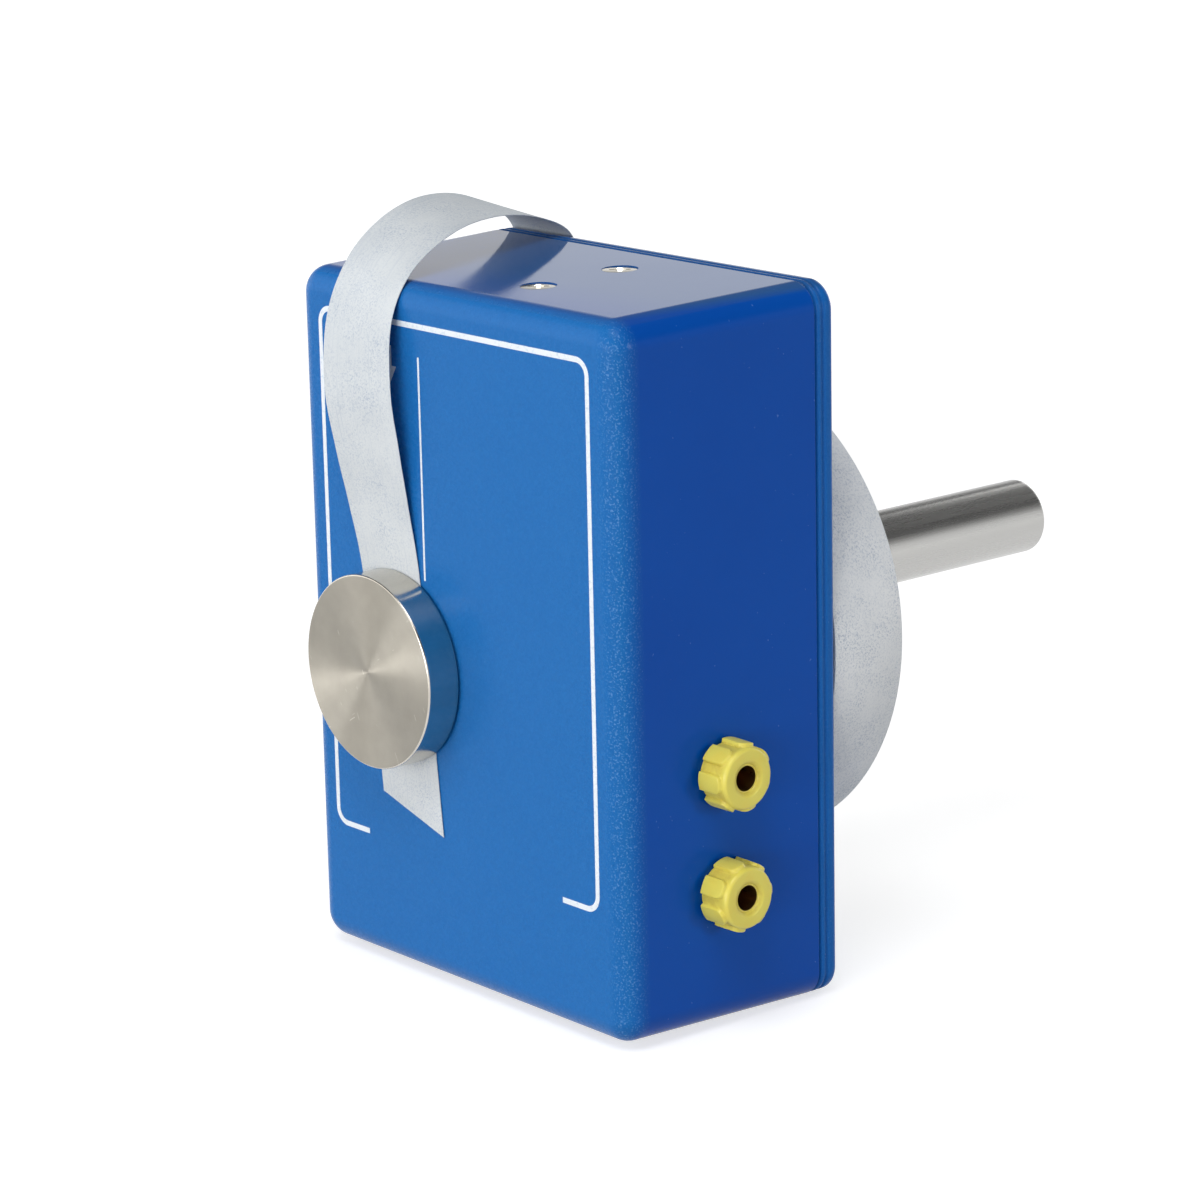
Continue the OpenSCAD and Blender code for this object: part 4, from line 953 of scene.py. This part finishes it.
# The solids that the scene shows as they are, by material.
NODE_MATS = {
    "zinc": ["armature", "reed_clamp_plate", "reed_clamp_screws", "coil_bracket",
             "bracket_washers", "bracket_nuts", "core_screw", "socket_washers", "fuse_caps",
             "fuse_holder_screw", "rod_screw", "rod_washer"],
    "steel": ["striker_pin", "reed_spring", "fuse_wire"],
    "iron": ["coil_core"],
    "ferrite": ["field_magnet"],
    "white": ["coil_bobbin"],
    "copper": ["coil_winding"],
    "brass": ["coil_pins", "socket_upper_sleeve", "socket_lower_sleeve", "socket_nuts",
              "fuse_clips"],
    "black": ["fuse_holder"],
    "glass": ["fuse_glass"],
    "red_wire": ["wire_socket_to_fuse", "wire_fuse_to_coil"],
    "black_wire": ["wire_coil_to_socket"],
}


def dress_nodes(mats):
    """Gives the solids that are shown as they are their materials."""
    for key, names in NODE_MATS.items():
        for name in names:
            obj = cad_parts[name]
            obj.data.materials.clear()
            obj.data.materials.append(mats[key])


def seen_ray(tree):
    """1 for camera, glossy and transmission rays, and 0 for the rest."""
    path = tree.nodes.new("ShaderNodeLightPath")
    total = path.outputs["Is Camera Ray"]
    for name in ("Is Glossy Ray", "Is Transmission Ray"):
        most = tree.nodes.new("ShaderNodeMath")
        most.operation = "MAXIMUM"
        tree.links.new(total, most.inputs[0])
        tree.links.new(path.outputs[name], most.inputs[1])
        total = most.outputs[0]
    return total


def make_stage():
    """A flat round floor, which grows as white as the world toward its edge."""
    radius_m, segments = 4.0, 96
    angles = [2 * math.pi * i / segments for i in range(segments)]
    rim = [(radius_m * math.cos(a), radius_m * math.sin(a), 0.0) for a in angles]
    mesh = bpy.data.meshes.new("floor")
    mesh.from_pydata(rim, [], [tuple(range(segments))])
    floor = bpy.data.objects.new("floor", mesh)
    floor.location.z = -HALF_H * MM
    bpy.context.collection.objects.link(floor)
    m = Mat("pale_floor", (0.55, 0.55, 0.55), Roughness=0.9)
    m.color(m.mix(m.ramp(m.noise(0.004, 2), 0.3, 0.7), (0.54, 0.54, 0.54), (0.56, 0.56, 0.56)))
    m.put(m.shader, "Emission Color", (1, 1, 1, 1))
    away = m.node("ShaderNodeVectorMath", operation="LENGTH")
    m.link(m.place, away.inputs[0])
    glow = m.ramp(away.outputs["Value"], 450, 1300, 0.66, 0.98)
    m.link(m.math("MULTIPLY", seen_ray(m.tree), glow), m.shader.inputs["Emission Strength"])
    mesh.materials.append(m.mat)


def area_light(name, place, size, power, color=(1, 1, 1)):
    """A rectangular lamp of (width, height) in metres, turned to the middle of the object."""
    data = bpy.data.lights.new(name, "AREA")
    data.shape = "RECTANGLE"
    data.size, data.size_y = size
    data.energy, data.color = power, color
    light = bpy.data.objects.new(name, data)
    light.location = place
    light.rotation_mode = "QUATERNION"
    toward = Vector((0, -0.1, 0)) - Vector(place)
    light.rotation_quaternion = toward.to_track_quat("-Z", "Y")
    bpy.context.collection.objects.link(light)


def make_world():
    """White low down, like a paper sweep, and dimmer overhead. It lights at a lower level."""
    world = bpy.data.worlds.new("studio")
    bpy.context.scene.world = world
    world.use_nodes = True
    tree = world.node_tree
    back = tree.nodes["Background"]
    back.inputs["Color"].default_value = (0.99, 0.995, 1.0, 1)
    coord = tree.nodes.new("ShaderNodeTexCoord")
    parts = tree.nodes.new("ShaderNodeSeparateXYZ")
    tree.links.new(coord.outputs["Generated"], parts.inputs[0])
    high = tree.nodes.new("ShaderNodeMapRange")
    ends = {"From Min": 0.18, "From Max": 0.42, "To Min": 1.0, "To Max": 0.12}
    for name, number in ends.items():
        high.inputs[name].default_value = number
    tree.links.new(parts.outputs[2], high.inputs["Value"])
    level = tree.nodes.new("ShaderNodeMapRange")
    level.inputs["To Min"].default_value = 0.22
    tree.links.new(high.outputs[0], level.inputs["To Max"])
    tree.links.new(seen_ray(tree), level.inputs["Value"])
    tree.links.new(level.outputs[0], back.inputs["Strength"])


def make_lamps():
    area_light("key", (-1.0, -1.32, 0.46), (3.0, 1.4), 15.8, (1.0, 0.99, 0.97))
    area_light("front_fill", (0.36, -1.64, 0.14), (1.4, 0.42), 10.2)
    area_light("top_lamp", (0.40, -0.75, 1.45), (0.8, 0.8), 11.5, (0.95, 0.97, 1.0))
    area_light("side_kicker", (1.46, 0.36, 0.30), (0.3, 0.3), 3.9)
    area_light("back_fill", (-0.35, 1.6, 0.45), (1.3, 1.3), 9.0)


def main():
    mats = make_materials()
    dress_nodes(mats)
    make_stage()
    make_world()
    make_lamps()
    make_case(mats)
    make_lid(mats)
    make_print(mats)
    make_disc(mats)
    make_rod(mats)
    make_roll(mats)
    make_tape(mats)
    make_socket("socket_upper_ribbed", SOCKET_ZS[0], 28.0, mats, "socket_upper_head")
    make_socket("socket_lower_ribbed", SOCKET_ZS[1], 52.0, mats, "socket_lower_head")
    tops = [(TOP_SCREW_X, y, half_at(y)[1] - 0.14) for y in TOP_SCREW_YS]
    make_screws("top_screws", tops, (0, 0, 1), (0.76, -0.65, 0), 1.5, 2.8, 10, mats["nickel"],
                "bracket_screws")
    corners = [(sx * LID_SCREW_X, BACK_Y - 0.2, sz * LID_SCREW_Z)
               for sx in (-1, 1) for sz in (-1, 1)]
    make_screws("corner_screws", corners, (0, 1, 0), (0.9, 0, 0.44), 1.45, 2.75, 12, mats["zinc"],
                "lid_screws")


main()
scene = bpy.context.scene
scene.view_settings.view_transform = "Standard"
